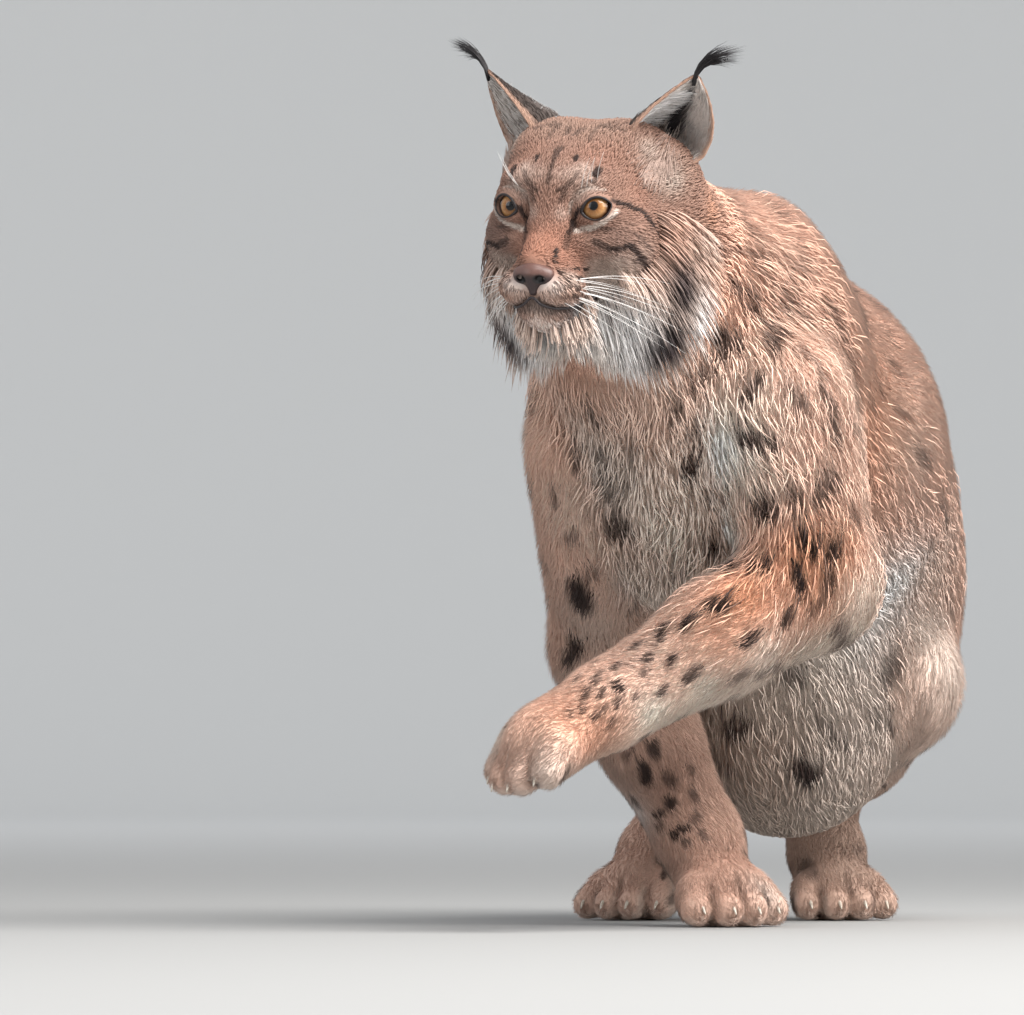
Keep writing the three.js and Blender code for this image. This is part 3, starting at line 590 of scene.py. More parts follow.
def new_piece(name, points, faces, material, slot, replaced=(), smoothed=True):
    """A mesh object that rides on the body, with the nodes that it stands for hidden. Its slot is not used."""
    mesh = bpy.data.meshes.new(name)
    faces = np.asarray(faces) if not isinstance(faces, list) else faces
    if isinstance(faces, np.ndarray):
        mesh.vertices.add(len(points))
        mesh.vertices.foreach_set("co", np.ascontiguousarray(points, dtype=np.float32).ravel())
        mesh.loops.add(faces.size)
        mesh.loops.foreach_set("vertex_index", faces.astype(np.int32).ravel())
        mesh.polygons.add(len(faces))
        mesh.polygons.foreach_set("loop_start", (np.arange(len(faces)) * faces.shape[1]).astype(np.int32))
        mesh.update(calc_edges=True)
    else:
        mesh.from_pydata(points, [], faces)
    mesh.polygons.foreach_set("use_smooth", np.full(len(mesh.polygons), smoothed))
    mesh.validate()
    mesh.update()
    piece = bpy.data.objects.new(name, mesh)
    bpy.context.scene.collection.objects.link(piece)
    piece.data.materials.append(material)
    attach(piece, "root")
    if replaced:
        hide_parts(*replaced)
    return piece


class Shade:
    """A socket of a material's nodes; arithmetic on it adds Math nodes."""

    def __init__(self, tree, socket):
        self.tree = tree
        self.socket = socket

    def node(self, kind, settings=(), out=0, **values):
        """A node of a type, its settings set first, then values or links of its sockets by name."""
        made = self.tree.nodes.new("ShaderNode" + kind)
        for name, value in dict(settings).items():
            if name == "stops":
                ramp = made.color_ramp
                while len(ramp.elements) < len(value):
                    ramp.elements.new(0.5)
                for element, (place, colour) in zip(ramp.elements, value):
                    element.position = place
                    element.color = (*colour, 1.0)
            else:
                setattr(made, name, value)
        for name, value in values.items():
            key = int(name[1:]) if name[0] == "_" else name.replace("_", " ")
            if isinstance(value, Shade):
                self.tree.links.new(made.inputs[key], value.socket)
            else:
                made.inputs[key].default_value = value
        return Shade(self.tree, made.outputs[out])

    def ramp(self, *stops):
        """A colour ramp over this shade, from places and colours."""
        return self.node("ValToRGB", {"stops": stops}, _0=self)

    def times(self, other, share):
        """This colour with a share of it multiplied by another."""
        settings = {"data_type": "RGBA", "blend_type": "MULTIPLY"}
        return self.node("Mix", settings, 2, _0=share, _6=self, _7=other)

    def step(self, middle_low, middle_high):
        """0 below one value, 1 above the other, and smooth between them."""
        settings = {"interpolation_type": "SMOOTHSTEP"}
        return self.node("MapRange", settings, Value=self, From_Min=middle_low, From_Max=middle_high)

    def maths(self, operation, a, b):
        """A Math node on two shades or values."""
        return self.node("Math", {"operation": operation}, _0=a, _1=b)

    def __add__(self, other):
        return self.maths("ADD", self, other)

    def __radd__(self, other):
        return self.maths("ADD", other, self)

    def __sub__(self, other):
        return self.maths("SUBTRACT", self, other)

    def __rsub__(self, other):
        return self.maths("SUBTRACT", other, self)

    def __mul__(self, other):
        return self.maths("MULTIPLY", self, other)

    def __rmul__(self, other):
        return self.maths("MULTIPLY", other, self)


def material(name, roughness, **fixed):
    """A Principled material, its constant sockets set, and a first shade of Object coordinates."""
    made = bpy.data.materials.new(name)
    made.use_nodes = True
    tree = made.node_tree
    shader = tree.nodes["Principled BSDF"]
    shader.inputs["Roughness"].default_value = roughness
    for key, value in fixed.items():
        shader.inputs[key.replace("_", " ")].default_value = value
    place = Shade(tree, tree.nodes.new("ShaderNodeTexCoord").outputs["Object"])
    return made, shader, place


def feed(shader, key, shade):
    """Links a shade to the shader's socket."""
    shade.tree.links.new(shader.inputs[key], shade.socket)


def srgb(*levels):
    """Linear levels of a colour given from 0 to 255 as a screen shows it."""
    c = np.array(levels, float) / 255
    return np.where(c <= 0.04045, c / 12.92, ((c + 0.055) / 1.055) ** 2.4)


def mixed(a, b, t):
    """Colours a to b by a share t for each point."""
    return a + (b - a) * np.asarray(t)[:, None]


# The markings, the same on skin and coat: rufous tan above, cream and white below, with brown spots in rows
# along the lie of the coat, small and dark on the legs, long and faint on the back. Those of the near side lie
# where the photograph shows them: a mark is two pixels, half its width in millimetres and its darkness.
CAMERA_AT = np.array([1816.0, -6761.0, 150.0])
AIMED_AT = np.array([-113.0, -32.5, 317.0])
PIXELS = 9333.0
IMAGE_MIDDLE = (512.0, 507.5)
ANIMAL_OFF = 6900
aim = unit(AIMED_AT - CAMERA_AT)
aim_right = unit(np.cross(aim, UP))
aim_up = np.cross(aim_right, aim)
skin_tree = BVHTree.FromPolygons(skin_points.tolist(), [tuple(f) for f in skin_faces])


def sight(px, py):
    """The direction from the camera through a pixel."""
    return unit(aim * PIXELS + aim_right * (px - IMAGE_MIDDLE[0]) - aim_up * (py - IMAGE_MIDDLE[1]))


def on_skin(px, py):
    """The skin's point under a pixel, or its nearest point to that line of sight at the animal's distance."""
    way = sight(px, py)
    hit = skin_tree.ray_cast(CAMERA_AT.tolist(), way.tolist())[0]
    if hit is None:
        middle = CAMERA_AT + way * ANIMAL_OFF
        hit = skin_tree.find_nearest(middle.tolist())[0]
    return np.array(hit)


BODY_MARKS = [
    # neck, shoulder and upper arm
    (748, 402, 760, 388, 6, 0.75), (745, 444, 772, 451, 5.5, 1.0), (689, 478, 696, 467, 5.5, 0.95),
    (714, 504, 731, 500, 4, 0.6), (764, 515, 772, 514, 8, 1.0), (796, 500, 798, 511, 5.5, 0.65),
    (822, 505, 831, 488, 8, 0.62), (831, 428, 837, 445, 4, 0.7), (803, 544, 811, 555, 6.5, 0.95),
    (829, 562, 834, 553, 6, 0.85), (796, 574, 801, 596, 4.5, 0.95), (826, 592, 831, 583, 4.5, 0.7),
    (712, 552, 726, 572, 6, 0.95), (752, 572, 766, 569, 5.5, 1.0), (709, 608, 720, 609, 7, 0.95),
    (808, 614, 826, 604, 3.5, 0.5), (670, 583, 680, 577, 3.5, 0.4), (714, 368, 736, 348, 5, 0.75),
    (697, 394, 704, 380, 4.5, 0.6), (672, 424, 684, 408, 4.5, 0.55), (693, 446, 702, 432, 3.5, 0.6),
    (717, 338, 722, 346, 5.5, 0.85), (750, 320, 757, 308, 4.5, 0.75), (733, 292, 742, 297, 5, 0.6),
    (786, 318, 790, 308, 4.5, 0.6), (805, 329, 809, 323, 4.5, 0.5), (775, 352, 782, 336, 5, 0.7),
    (773, 358, 779, 350, 4.5, 0.6), (791, 396, 802, 416, 5.5, 0.5), (816, 362, 824, 382, 4, 0.5),
    (824, 398, 833, 414, 5.5, 0.5), (851, 364, 856, 396, 4.5, 0.45), (848, 420, 851, 440, 3.5, 0.5),
    (836, 318, 841, 345, 6, 0.5), (858, 312, 862, 336, 5, 0.35), (828, 250, 836, 270, 4, 0.4),
    (848, 280, 856, 296, 5, 0.35), (803, 244, 803, 284, 4, 0.4), (792, 296, 798, 282, 4, 0.4),
    (764, 262, 768, 284, 5, 0.4), (738, 214, 744, 226, 4.5, 0.45), (752, 234, 762, 246, 4.5, 0.4),
    (726, 240, 732, 256, 4, 0.35), (772, 206, 786, 222, 4, 0.35), (888, 336, 896, 348, 5, 0.35),
    (892, 366, 898, 376, 4, 0.3), (876, 384, 880, 398, 4, 0.25), (896, 412, 908, 424, 4, 0.28),
    (868, 404, 872, 414, 3.5, 0.25), (918, 458, 926, 466, 6.5, 0.35), (860, 462, 864, 480, 3.5, 0.3),
    (884, 466, 890, 476, 3.5, 0.25), (938, 506, 942, 526, 5.5, 0.28), (922, 552, 930, 556, 5, 0.28),
    (852, 520, 858, 530, 5, 0.35), (944, 600, 948, 618, 5, 0.2),
    # chest and throat
    (618, 534, 634, 529, 7, 0.8), (578, 592, 581, 606, 9, 1.0), (576, 648, 580, 653, 6, 0.9),
    (567, 664, 572, 660, 6, 0.85), (590, 412, 601, 428, 3.5, 0.65), (600, 458, 607, 463, 4.5, 0.6),
    (575, 456, 580, 472, 3.5, 0.65), (603, 486, 612, 496, 4.5, 0.6), (570, 542, 575, 537, 4, 0.5),
    (554, 492, 558, 508, 3, 0.45), (588, 580, 596, 574, 3.5, 0.5), (545, 566, 550, 574, 3.5, 0.4),
    (535, 400, 537, 420, 3.5, 0.4), (532, 480, 536, 500, 3, 0.35), (536, 536, 540, 548, 3.5, 0.3),
    (616, 508, 622, 516, 4, 0.45), (632, 455, 638, 462, 3.5, 0.4), (628, 482, 633, 490, 3.5, 0.35),
    # lifted foreleg
    (628, 615, 632, 612, 3.5, 0.5), (652, 617, 659, 607, 3, 0.5), (681, 630, 686, 625, 4.8, 0.95),
    (656, 641, 659, 631, 3.6, 0.85), (742, 645, 748, 638, 5, 0.95), (781, 628, 785, 620, 4.5, 0.8),
    (632, 651, 636, 645, 2.8, 0.6), (643, 661, 646, 658, 3.2, 0.8), (667, 664, 670, 659, 3.6, 0.85),
    (610, 670, 614, 665, 3, 0.75), (592, 684, 596, 676, 3, 0.6), (615, 685, 620, 692, 3.4, 0.85),
    (683, 682, 692, 673, 4.2, 0.75), (658, 696, 662, 688, 3, 0.75), (597, 697, 600, 690, 2.8, 0.7),
    (581, 700, 583, 693, 2.8, 0.6), (614, 708, 616, 702, 2.6, 0.7), (579, 714, 580, 708, 2.5, 0.6),
    (591, 720, 594, 715, 2.6, 0.7), (608, 728, 610, 722, 2.5, 0.5), (566, 718, 567, 711, 2.4, 0.5),
    (602, 712, 603, 708, 2.3, 0.55), (573, 684, 575, 678, 2.3, 0.4), (640, 676, 642, 671, 2.4, 0.5),
    (628, 668, 629, 663, 2.2, 0.4), (634, 700, 636, 694, 2.4, 0.5), (650, 648, 652, 643, 2.3, 0.4),
    # belly
    (732, 736, 746, 733, 8, 0.8), (799, 772, 810, 780, 9, 0.9), (818, 726, 834, 746, 6, 0.3),
    (786, 679, 798, 684, 6, 0.5), (731, 680, 739, 676, 5, 0.4), (722, 768, 734, 774, 6, 0.3),
    (884, 682, 896, 668, 7, 0.45), (836, 628, 846, 650, 5, 0.28), (870, 722, 876, 730, 5, 0.2),
    # standing foreleg
    (654, 748, 656, 756, 4.5, 0.8), (645, 768, 647, 782, 4.6, 1.0), (667, 778, 673, 786, 4.5, 0.6),
    (670, 804, 674, 808, 4.2, 0.9), (635, 801, 639, 806, 3.4, 0.6), (693, 793, 697, 803, 4, 0.5),
    (658, 818, 664, 814, 3.6, 0.9), (695, 824, 699, 818, 4, 0.5), (682, 833, 689, 830, 2.8, 0.9),
    (673, 839, 678, 837, 2.8, 0.9), (659, 832, 664, 828, 2.8, 0.5), (703, 834, 707, 840, 3.2, 0.5),
    (685, 846, 690, 844, 2.6, 0.6), (628, 758, 632, 752, 4, 0.5), (690, 770, 694, 778, 3, 0.4),
    # left hind leg
    (907, 762, 913, 755, 4.5, 0.65), (882, 788, 904, 788, 3.2, 0.6), (865, 806, 871, 803, 4, 0.5),
    (886, 810, 890, 806, 3.4, 0.5), (872, 828, 877, 824, 3.4, 0.4), (806, 866, 813, 875, 6, 0.3),
    (855, 853, 862, 850, 3.2, 0.35),
]
# Pale lines: the band under the eye, and the shorter ones at its inner corner and above it
FACE_PALE = [
    (576, 230, 590, 228, 2.2, 0.95), (590, 228, 604, 222, 2.4, 0.95), (604, 222, 617, 211, 2.2, 0.85),
    (572, 200, 569, 212, 1.8, 0.5), (581, 191, 592, 187, 1.5, 0.6), (592, 187, 606, 190, 1.3, 0.45),
    (545, 289, 556, 288, 2.0, 0.6), (583, 303, 600, 297, 2.4, 0.6),
]
# Marks of the face, mirrored on its far side: whisker spots, lines over the cheek and streaks up the brow
FACE_MARKS = [
    (612, 201, 630, 205, 1.3, 1.0), (630, 205, 644, 212, 1.5, 1.0), (644, 212, 655, 226, 1.7, 0.95),
    (655, 226, 663, 242, 1.6, 0.9), (663, 242, 672, 257, 1.8, 0.9), (596, 242, 612, 250, 2.2, 0.5),
    (612, 250, 632, 247, 1.6, 0.75), (632, 247, 641, 256, 1.8, 0.8), (641, 256, 653, 274, 2.4, 0.75),
    (604, 228, 640, 236, 1.2, 0.4), (640, 236, 652, 250, 1.4, 0.35), (600, 222, 616, 216, 1.0, 0.35),
    (575, 224, 569, 232, 1.9, 0.6), (569, 232, 566, 246, 2.2, 0.35), (557, 250, 556, 256, 1.5, 0.75),
    (555, 261, 557, 262, 1.0, 0.6), (576, 158, 577, 157, 1.8, 0.8), (597, 174, 600, 169, 2.1, 0.85),
    (594, 181, 596, 177, 1.2, 0.5), (558, 190, 572, 182, 1.4, 0.45), (572, 182, 580, 172, 1.3, 0.35),
    (561, 199, 566, 190, 1.5, 0.4), (542, 200, 543, 186, 1.2, 0.5), (543, 186, 541, 172, 1.2, 0.45),
    (549, 182, 552, 166, 1.1, 0.45), (541, 172, 546, 156, 1.2, 0.5), (552, 166, 562, 148, 1.3, 0.5),
    (560, 142, 574, 122, 1.5, 0.45), (574, 136, 584, 118, 1.5, 0.4), (590, 140, 600, 122, 1.4, 0.3),
    (548, 150, 558, 134, 1.3, 0.45), (600, 119, 640, 117, 1.2, 0.35), (604, 128, 625, 132, 1.4, 0.35),
    (562, 274, 564, 274, 1.1, 0.85), (576, 271, 579, 270, 1.0, 0.8), (584, 269, 589, 268, 1.0, 0.8),
    (555, 283, 560, 283, 1.1, 0.8), (566, 282, 573, 281, 1.1, 0.8), (579, 281, 588, 279, 1.0, 0.75),
    (541, 293, 552, 292, 1.0, 0.8), (556, 292, 562, 291, 1.1, 0.85), (566, 291, 572, 290, 1.1, 0.8),
    (577, 290, 588, 290, 0.9, 0.75), (563, 299, 570, 299, 1.0, 0.7), (574, 298, 580, 297, 1.0, 0.7),
    (584, 298, 594, 297, 0.9, 0.7), (680, 276, 688, 306, 5.5, 0.85), (688, 296, 689, 308, 4, 0.6),
    (529, 305, 548, 309, 3.2, 1.0), (548, 310, 566, 309, 3.0, 0.95), (566, 308, 586, 304, 1.8, 0.95),
    (586, 304, 598, 299, 1.2, 0.9), (536, 311, 556, 314, 2.2, 0.6), (572, 222, 580, 208, 1.8, 1.0),
    (576, 216, 572, 224, 1.6, 0.95), (522, 150, 530, 166, 1.4, 0.4), (530, 180, 533, 196, 1.3, 0.4),
    (685, 246, 698, 268, 2, 0.3), (700, 256, 716, 274, 2, 0.3), (668, 218, 690, 232, 1.5, 0.2),
]

DARK_BROWN = srgb(52, 34, 28)
TAN = srgb(216, 172, 150)
HEAD_TAN = srgb(152, 117, 101)
CHEEK_BROWN = srgb(132, 104, 92)
RUFOUS = srgb(170, 119, 97)
ORANGE = srgb(216, 152, 114)
PALE = srgb(228, 200, 184)
CREAM = srgb(232, 216, 204)
WHITE = srgb(244, 240, 238)
EAR_DARK = srgb(66, 60, 64)
GREY_BROWN = srgb(164, 138, 122)
GREY_CREAM = srgb(206, 194, 182)
# Tinted areas of body and legs: the pixel of the middle, the reach in millimetres, the colour and its share
BODY_TINTS = [
    (745, 430, 52, PALE, 0.85), (700, 470, 40, CREAM, 0.8), (722, 465, 30, WHITE, 0.6),
    (800, 440, 50, PALE, 0.4), (880, 450, 60, ORANGE, 0.45), (860, 520, 50, ORANGE, 0.75),
    (845, 560, 34, ORANGE, 0.8), (720, 460, 26, WHITE, 0.7), (700, 400, 45, GREY_BROWN, 0.35),
    # The grey-brown at pixel (610, 420), at the top of the chest below the ruff, is painted shadow of the ruff.
    (610, 420, 40, GREY_BROWN, 0.75), (940, 560, 50, PALE, 0.6), (915, 470, 60, PALE, 0.5),
    (925, 640, 50, CREAM, 0.8), (710, 350, 40, GREY_BROWN, 0.5), (740, 300, 40, PALE, 0.4),
    (880, 600, 44, WHITE, 1.0), (850, 640, 46, WHITE, 1.0), (905, 620, 36, WHITE, 0.6),
    (820, 660, 34, CREAM, 0.9), (930, 590, 42, PALE, 0.7), (945, 660, 50, PALE, 0.8),
    # The grey cream and grey-brown areas over the belly, at pixels (720, 720) to (790, 800), are painted shade
    # under the body.
    (880, 720, 60, CREAM, 0.8), (790, 720, 70, GREY_CREAM, 0.8), (720, 720, 50, GREY_CREAM, 0.8),
    (780, 800, 60, GREY_BROWN, 0.55), (780, 740, 40, GREY_BROWN, 0.4), (850, 760, 50, CREAM, 0.7),
    # The grey-brown at pixel (620, 430) is painted shadow of the ruff on the top of the chest.
    (620, 430, 55, GREY_BROWN, 0.75), (640, 500, 40, GREY_CREAM, 0.7), (665, 540, 40, CREAM, 0.8),
    (660, 600, 36, CREAM, 0.8), (590, 460, 34, GREY_CREAM, 0.6), (600, 540, 40, GREY_BROWN, 0.5),
    # The cheek-brown at pixel (610, 420) is painted shadow of the ruff on the top of the chest.
    (610, 420, 34, CHEEK_BROWN, 0.5), (620, 590, 36, GREY_CREAM, 0.6), (590, 400, 30, CREAM, 0.6),
]
LEG_TINTS = [
    # The grey-brown areas over the left hind leg, at pixels (850, 860), (850, 830) and (800, 860), are painted
    # shade where that leg lies in shade.
    (720, 460, 34, WHITE, 0.9), (760, 410, 34, PALE, 0.6), (850, 860, 60, GREY_BROWN, 0.7),
    (850, 830, 40, GREY_BROWN, 0.6), (740, 600, 30, ORANGE, 0.8), (800, 560, 30, ORANGE, 0.8),
    (840, 570, 26, ORANGE, 0.8), (820, 600, 22, ORANGE, 0.6), (700, 640, 30, ORANGE, 0.4),
    (760, 500, 34, PALE, 0.6), (862, 602, 30, CREAM, 0.6), (850, 640, 30, CREAM, 0.7),
    (720, 535, 26, WHITE, 0.9), (700, 560, 22, WHITE, 0.7), (650, 590, 20, WHITE, 0.85),
    (620, 640, 34, PALE, 0.5), (660, 650, 34, PALE, 0.4), (560, 720, 30, ORANGE, 0.35),
    (600, 745, 30, ORANGE, 0.35), (650, 715, 18, CREAM, 0.8), (700, 690, 18, CREAM, 0.7),
    (760, 660, 18, CREAM, 0.6), (495, 750, 22, CREAM, 0.6), (545, 775, 26, CREAM, 0.6),
    # The dark tan at pixel (670, 780) is painted shade on the standing foreleg.
    (670, 780, 50, HEAD_TAN, 0.6), (640, 815, 16, WHITE, 0.6), (735, 870, 34, RUFOUS, 0.3),
    (765, 895, 16, CREAM, 0.7), (935, 650, 50, CREAM, 0.85), (950, 690, 40, CREAM, 0.7),
    (900, 740, 40, PALE, 0.5), (905, 690, 30, PALE, 0.6), (850, 860, 46, PALE, 0.2),
    # The grey-brown at pixel (800, 860) is painted shade on the left hind leg.
    (880, 940, 26, GREY_CREAM, 0.5), (800, 860, 36, GREY_BROWN, 0.3),
]
FACE_TINTS = [
    (548, 240, 15, RUFOUS, 0.85), (535, 250, 12, RUFOUS, 0.7), (565, 215, 14, RUFOUS, 0.4),
    (580, 262, 14, RUFOUS, 0.55), (545, 285, 8, WHITE, 0.6), (565, 287, 10, CHEEK_BROWN, 0.35),
    (585, 287, 12, CHEEK_BROWN, 0.3), (600, 275, 14, CREAM, 0.6), (548, 323, 11, WHITE, 1.0),
    (565, 322, 11, WHITE, 1.0), (585, 314, 12, WHITE, 0.95), (600, 305, 14, WHITE, 0.9),
    (625, 300, 18, CREAM, 0.8), (533, 259, 8, RUFOUS, 0.7), (560, 258, 9, RUFOUS, 0.7),
    # The dark areas under the mouth, at pixels (533, 305) to (560, 309), are the lower lip's own dark colour
    # together with painted shade under it.
    (542, 308, 5, EAR_DARK, 0.8), (533, 305, 5, EAR_DARK, 0.7), (551, 309, 5, EAR_DARK, 0.7),
    (560, 308, 4, EAR_DARK, 0.6), (556, 290, 6, WHITE, 0.6), (600, 290, 12, CREAM, 0.5),
    (620, 278, 12, CREAM, 0.8), (618, 262, 8, CREAM, 0.5), (598, 262, 8, CREAM, 0.4),
    (618, 345, 26, WHITE, 1.0), (640, 350, 26, WHITE, 1.0), (640, 320, 20, WHITE, 0.8),
    (700, 320, 20, WHITE, 0.75), (690, 345, 18, WHITE, 0.7), (655, 300, 16, CREAM, 0.6),
    (590, 238, 7, HEAD_TAN, 0.6), (590, 184, 8, CREAM, 0.3), (578, 195, 6, CREAM, 0.3),
    (584, 168, 7, CREAM, 0.35), (565, 175, 9, HEAD_TAN, 0.3), (640, 262, 14, CREAM, 0.3),
    (660, 170, 20, GREY_BROWN, 0.35), (575, 283, 8, CREAM, 0.5), (622, 240, 15, CHEEK_BROWN, 0.8),
    (600, 243, 9, CHEEK_BROWN, 0.6), (645, 262, 9, CHEEK_BROWN, 0.5), (600, 150, 18, RUFOUS, 0.35),
    (560, 172, 7, CREAM, 0.15), (530, 172, 7, CREAM, 0.2), (640, 190, 16, RUFOUS, 0.3),
    (562, 212, 6, CREAM, 0.3), (650, 150, 10, GREY_CREAM, 0.5), (672, 178, 12, GREY_CREAM, 0.6),
    (710, 210, 16, ORANGE, 0.3), (700, 150, 14, GREY_BROWN, 0.3), (560, 130, 22, GREY_BROWN, 0.35),
    (610, 120, 22, GREY_BROWN, 0.3),
]


def to_left(q):
    """Points of the right side laid over the left: x without its sign."""
    return np.concatenate([np.abs(q[..., :1]), q[..., 1:]], axis=-1)


def placed(tints, place_of):
    """Tinted areas, each with the place that its pixel stands for."""
    return [(place_of(x, y), reach, colour, share) for x, y, reach, colour, share in tints]


def tinted(found, p, tints, spread=1.0):
    """Colours with tinted areas over them, whose shares fall off as exp(-(gap / (spread reach))^2)."""
    for place, reach, colour, share in tints:
        gap = ((p - place) ** 2).sum(1)
        found = mixed(found, colour, share * np.exp(-gap / (spread * reach) ** 2))
    return found


def strokes(marks):
    """The two ends of each mark on the skin, half its width and its darkness."""
    ends = np.array([[on_skin(m[0], m[1]), on_skin(m[2], m[3])] for m in marks])
    return ends, np.array([m[4] for m in marks]), np.array([m[5] for m in marks])


def share_of_strokes(p, ends, half, dark, soft=0.45):
    """How dark the marks make each point: each mark's darkness, fading over a soft edge round its line."""
    total = np.zeros(len(p))
    for (a, b), r, strength in zip(ends, half, dark):
        near = np.flatnonzero((np.abs(p - (a + b) / 2) < np.abs(a - b) / 2 + 1.6 * r + 2).all(1))
        if not len(near):
            continue
        d = b - a
        q = p[near] - a
        t = np.clip(q @ d / max(d @ d, 1e-6), 0, 1)
        gap = np.linalg.norm(q - t[:, None] * d, axis=1)
        total[near] = np.maximum(total[near], strength * smooth(r * (1 + soft), r * (1 - soft), gap))
    return total


ends, half, dark = strokes(BODY_MARKS)
body_marks = (ends, half * 1.05, np.minimum(0.25 + 0.85 * dark, 1))
ends, half, dark = strokes(FACE_MARKS)
half = half * 1.2 + 0.25
dark = np.minimum(dark * 1.45, 1)
face_marks = (in_head(ends), half, dark)
ends, half, dark = strokes(FACE_PALE)
face_pale = (in_head(ends), half, dark)
body_tints = placed(BODY_TINTS, lambda x, y: np.abs(on_skin(x, y)))
leg_tints = placed(LEG_TINTS, on_skin)
face_tints = placed(FACE_TINTS, lambda x, y: to_left(in_head(on_skin(x, y))))
draw = np.random.default_rng(11)


def waves(p, size, turn=0.0):
    """A slow seeded wander between -1 and 1: five sines across different directions, about size across."""
    found = np.zeros(len(p))
    for n in range(5):
        way = unit(
            np.array([math.sin(2.1 * n + turn), math.cos(3.7 * n + 1 + turn), math.sin(5.3 * n + 2)])
        )
        found += np.sin(p @ way * (2 * math.pi / size) * (0.8 + 0.17 * n) + 1.7 * n + turn)
    return found / 3.2


# The lie of the coat: along each bone to the paws, back and down over the body, and out from the nose.
BONES = [
    (CHEST, LOIN, 130, (0, 1, -0.3)), (LOIN, CROUP, 140, (0, 1, -0.4)), (CROUP, PELVIS, 115, (0, 1, -0.5)),
    (NECK_BASE, NECK_TOP, 100, (0.1, 0.9, -0.5)), ((10, 310, 184), (10, 320, 184), 110, (0, 0.7, -0.5)),
    (LIFTED["shoulder"], LIFTED["elbow"], 60, None), (LIFTED["elbow"], LIFTED["wrist"], 46, None),
    (LIFTED["wrist"], LIFTED["toes"], 32, None), (BEARING["shoulder"], BEARING["elbow"], 55, None),
    (BEARING["elbow"], BEARING["wrist"], 42, None), (BEARING["wrist"], BEARING["toes"], 32, None),
    (TAIL_ROOT, TAIL_TIP, 36, None),
]
for joints in (HIND_LEFT, HIND_RIGHT):
    BONES += [
        (joints["hip"], joints["knee"], 70, None), (joints["knee"], joints["hock"], 44, None),
        (joints["hock"], joints["toes"], 30, None),
    ]
NOSE_TIP = np.array([0.0, -86.0, -26.0])


def in_legs(p):
    """How far each point belongs to a leg or the tail and not to the trunk, from 0 to 1."""
    body = np.minimum(trunk(p), neck(p))
    nearest = np.full(len(p), FAR)
    for form, _, _, _, low, high in LIMBS:
        nearest = np.minimum(nearest, where(((p > low) & (p < high)).all(1), form, p))
    return smooth(-14, 14, body - nearest)


def lie(p, n):
    """The way the hair points at each point: bones' directions weighed by nearness, laid along the skin."""
    gaps = np.stack([limb(a, b, r, r)(p) for a, b, r, _ in BONES])
    weights = np.exp(-(gaps - gaps.min(0)) / 16)
    ways = np.array([unit(np.subtract(b, a)) if way is None else unit(way) for a, b, _, way in BONES])
    way = weights.T @ ways
    trunky = weights[:5].sum(0) / weights.sum(0)
    way[:, 2] -= trunky * (0.5 * np.abs(n[:, 0]) + 1.3 * smooth(0.1, 0.9, -n[:, 1]))
    way[:, 0] += trunky * 0.25 * n[:, 0]
    q = in_head(p)
    out = unit(q - NOSE_TIP)
    out[:, 1] += 0.25
    on_cheek = 0.5 * smooth(20, 60, np.abs(q[:, 0])) * smooth(20, -20, q[:, 2])
    out[:, 2] -= on_cheek + 0.5 * smooth(-30, -80, q[:, 2])
    share = smooth(118, 84, np.linalg.norm(q, axis=1))
    way = unit(way) * (1 - share)[:, None] + (unit(out) @ HEAD_TURNED.T) * share[:, None]
    way = way - (way * n).sum(1)[:, None] * n
    return unit(way)


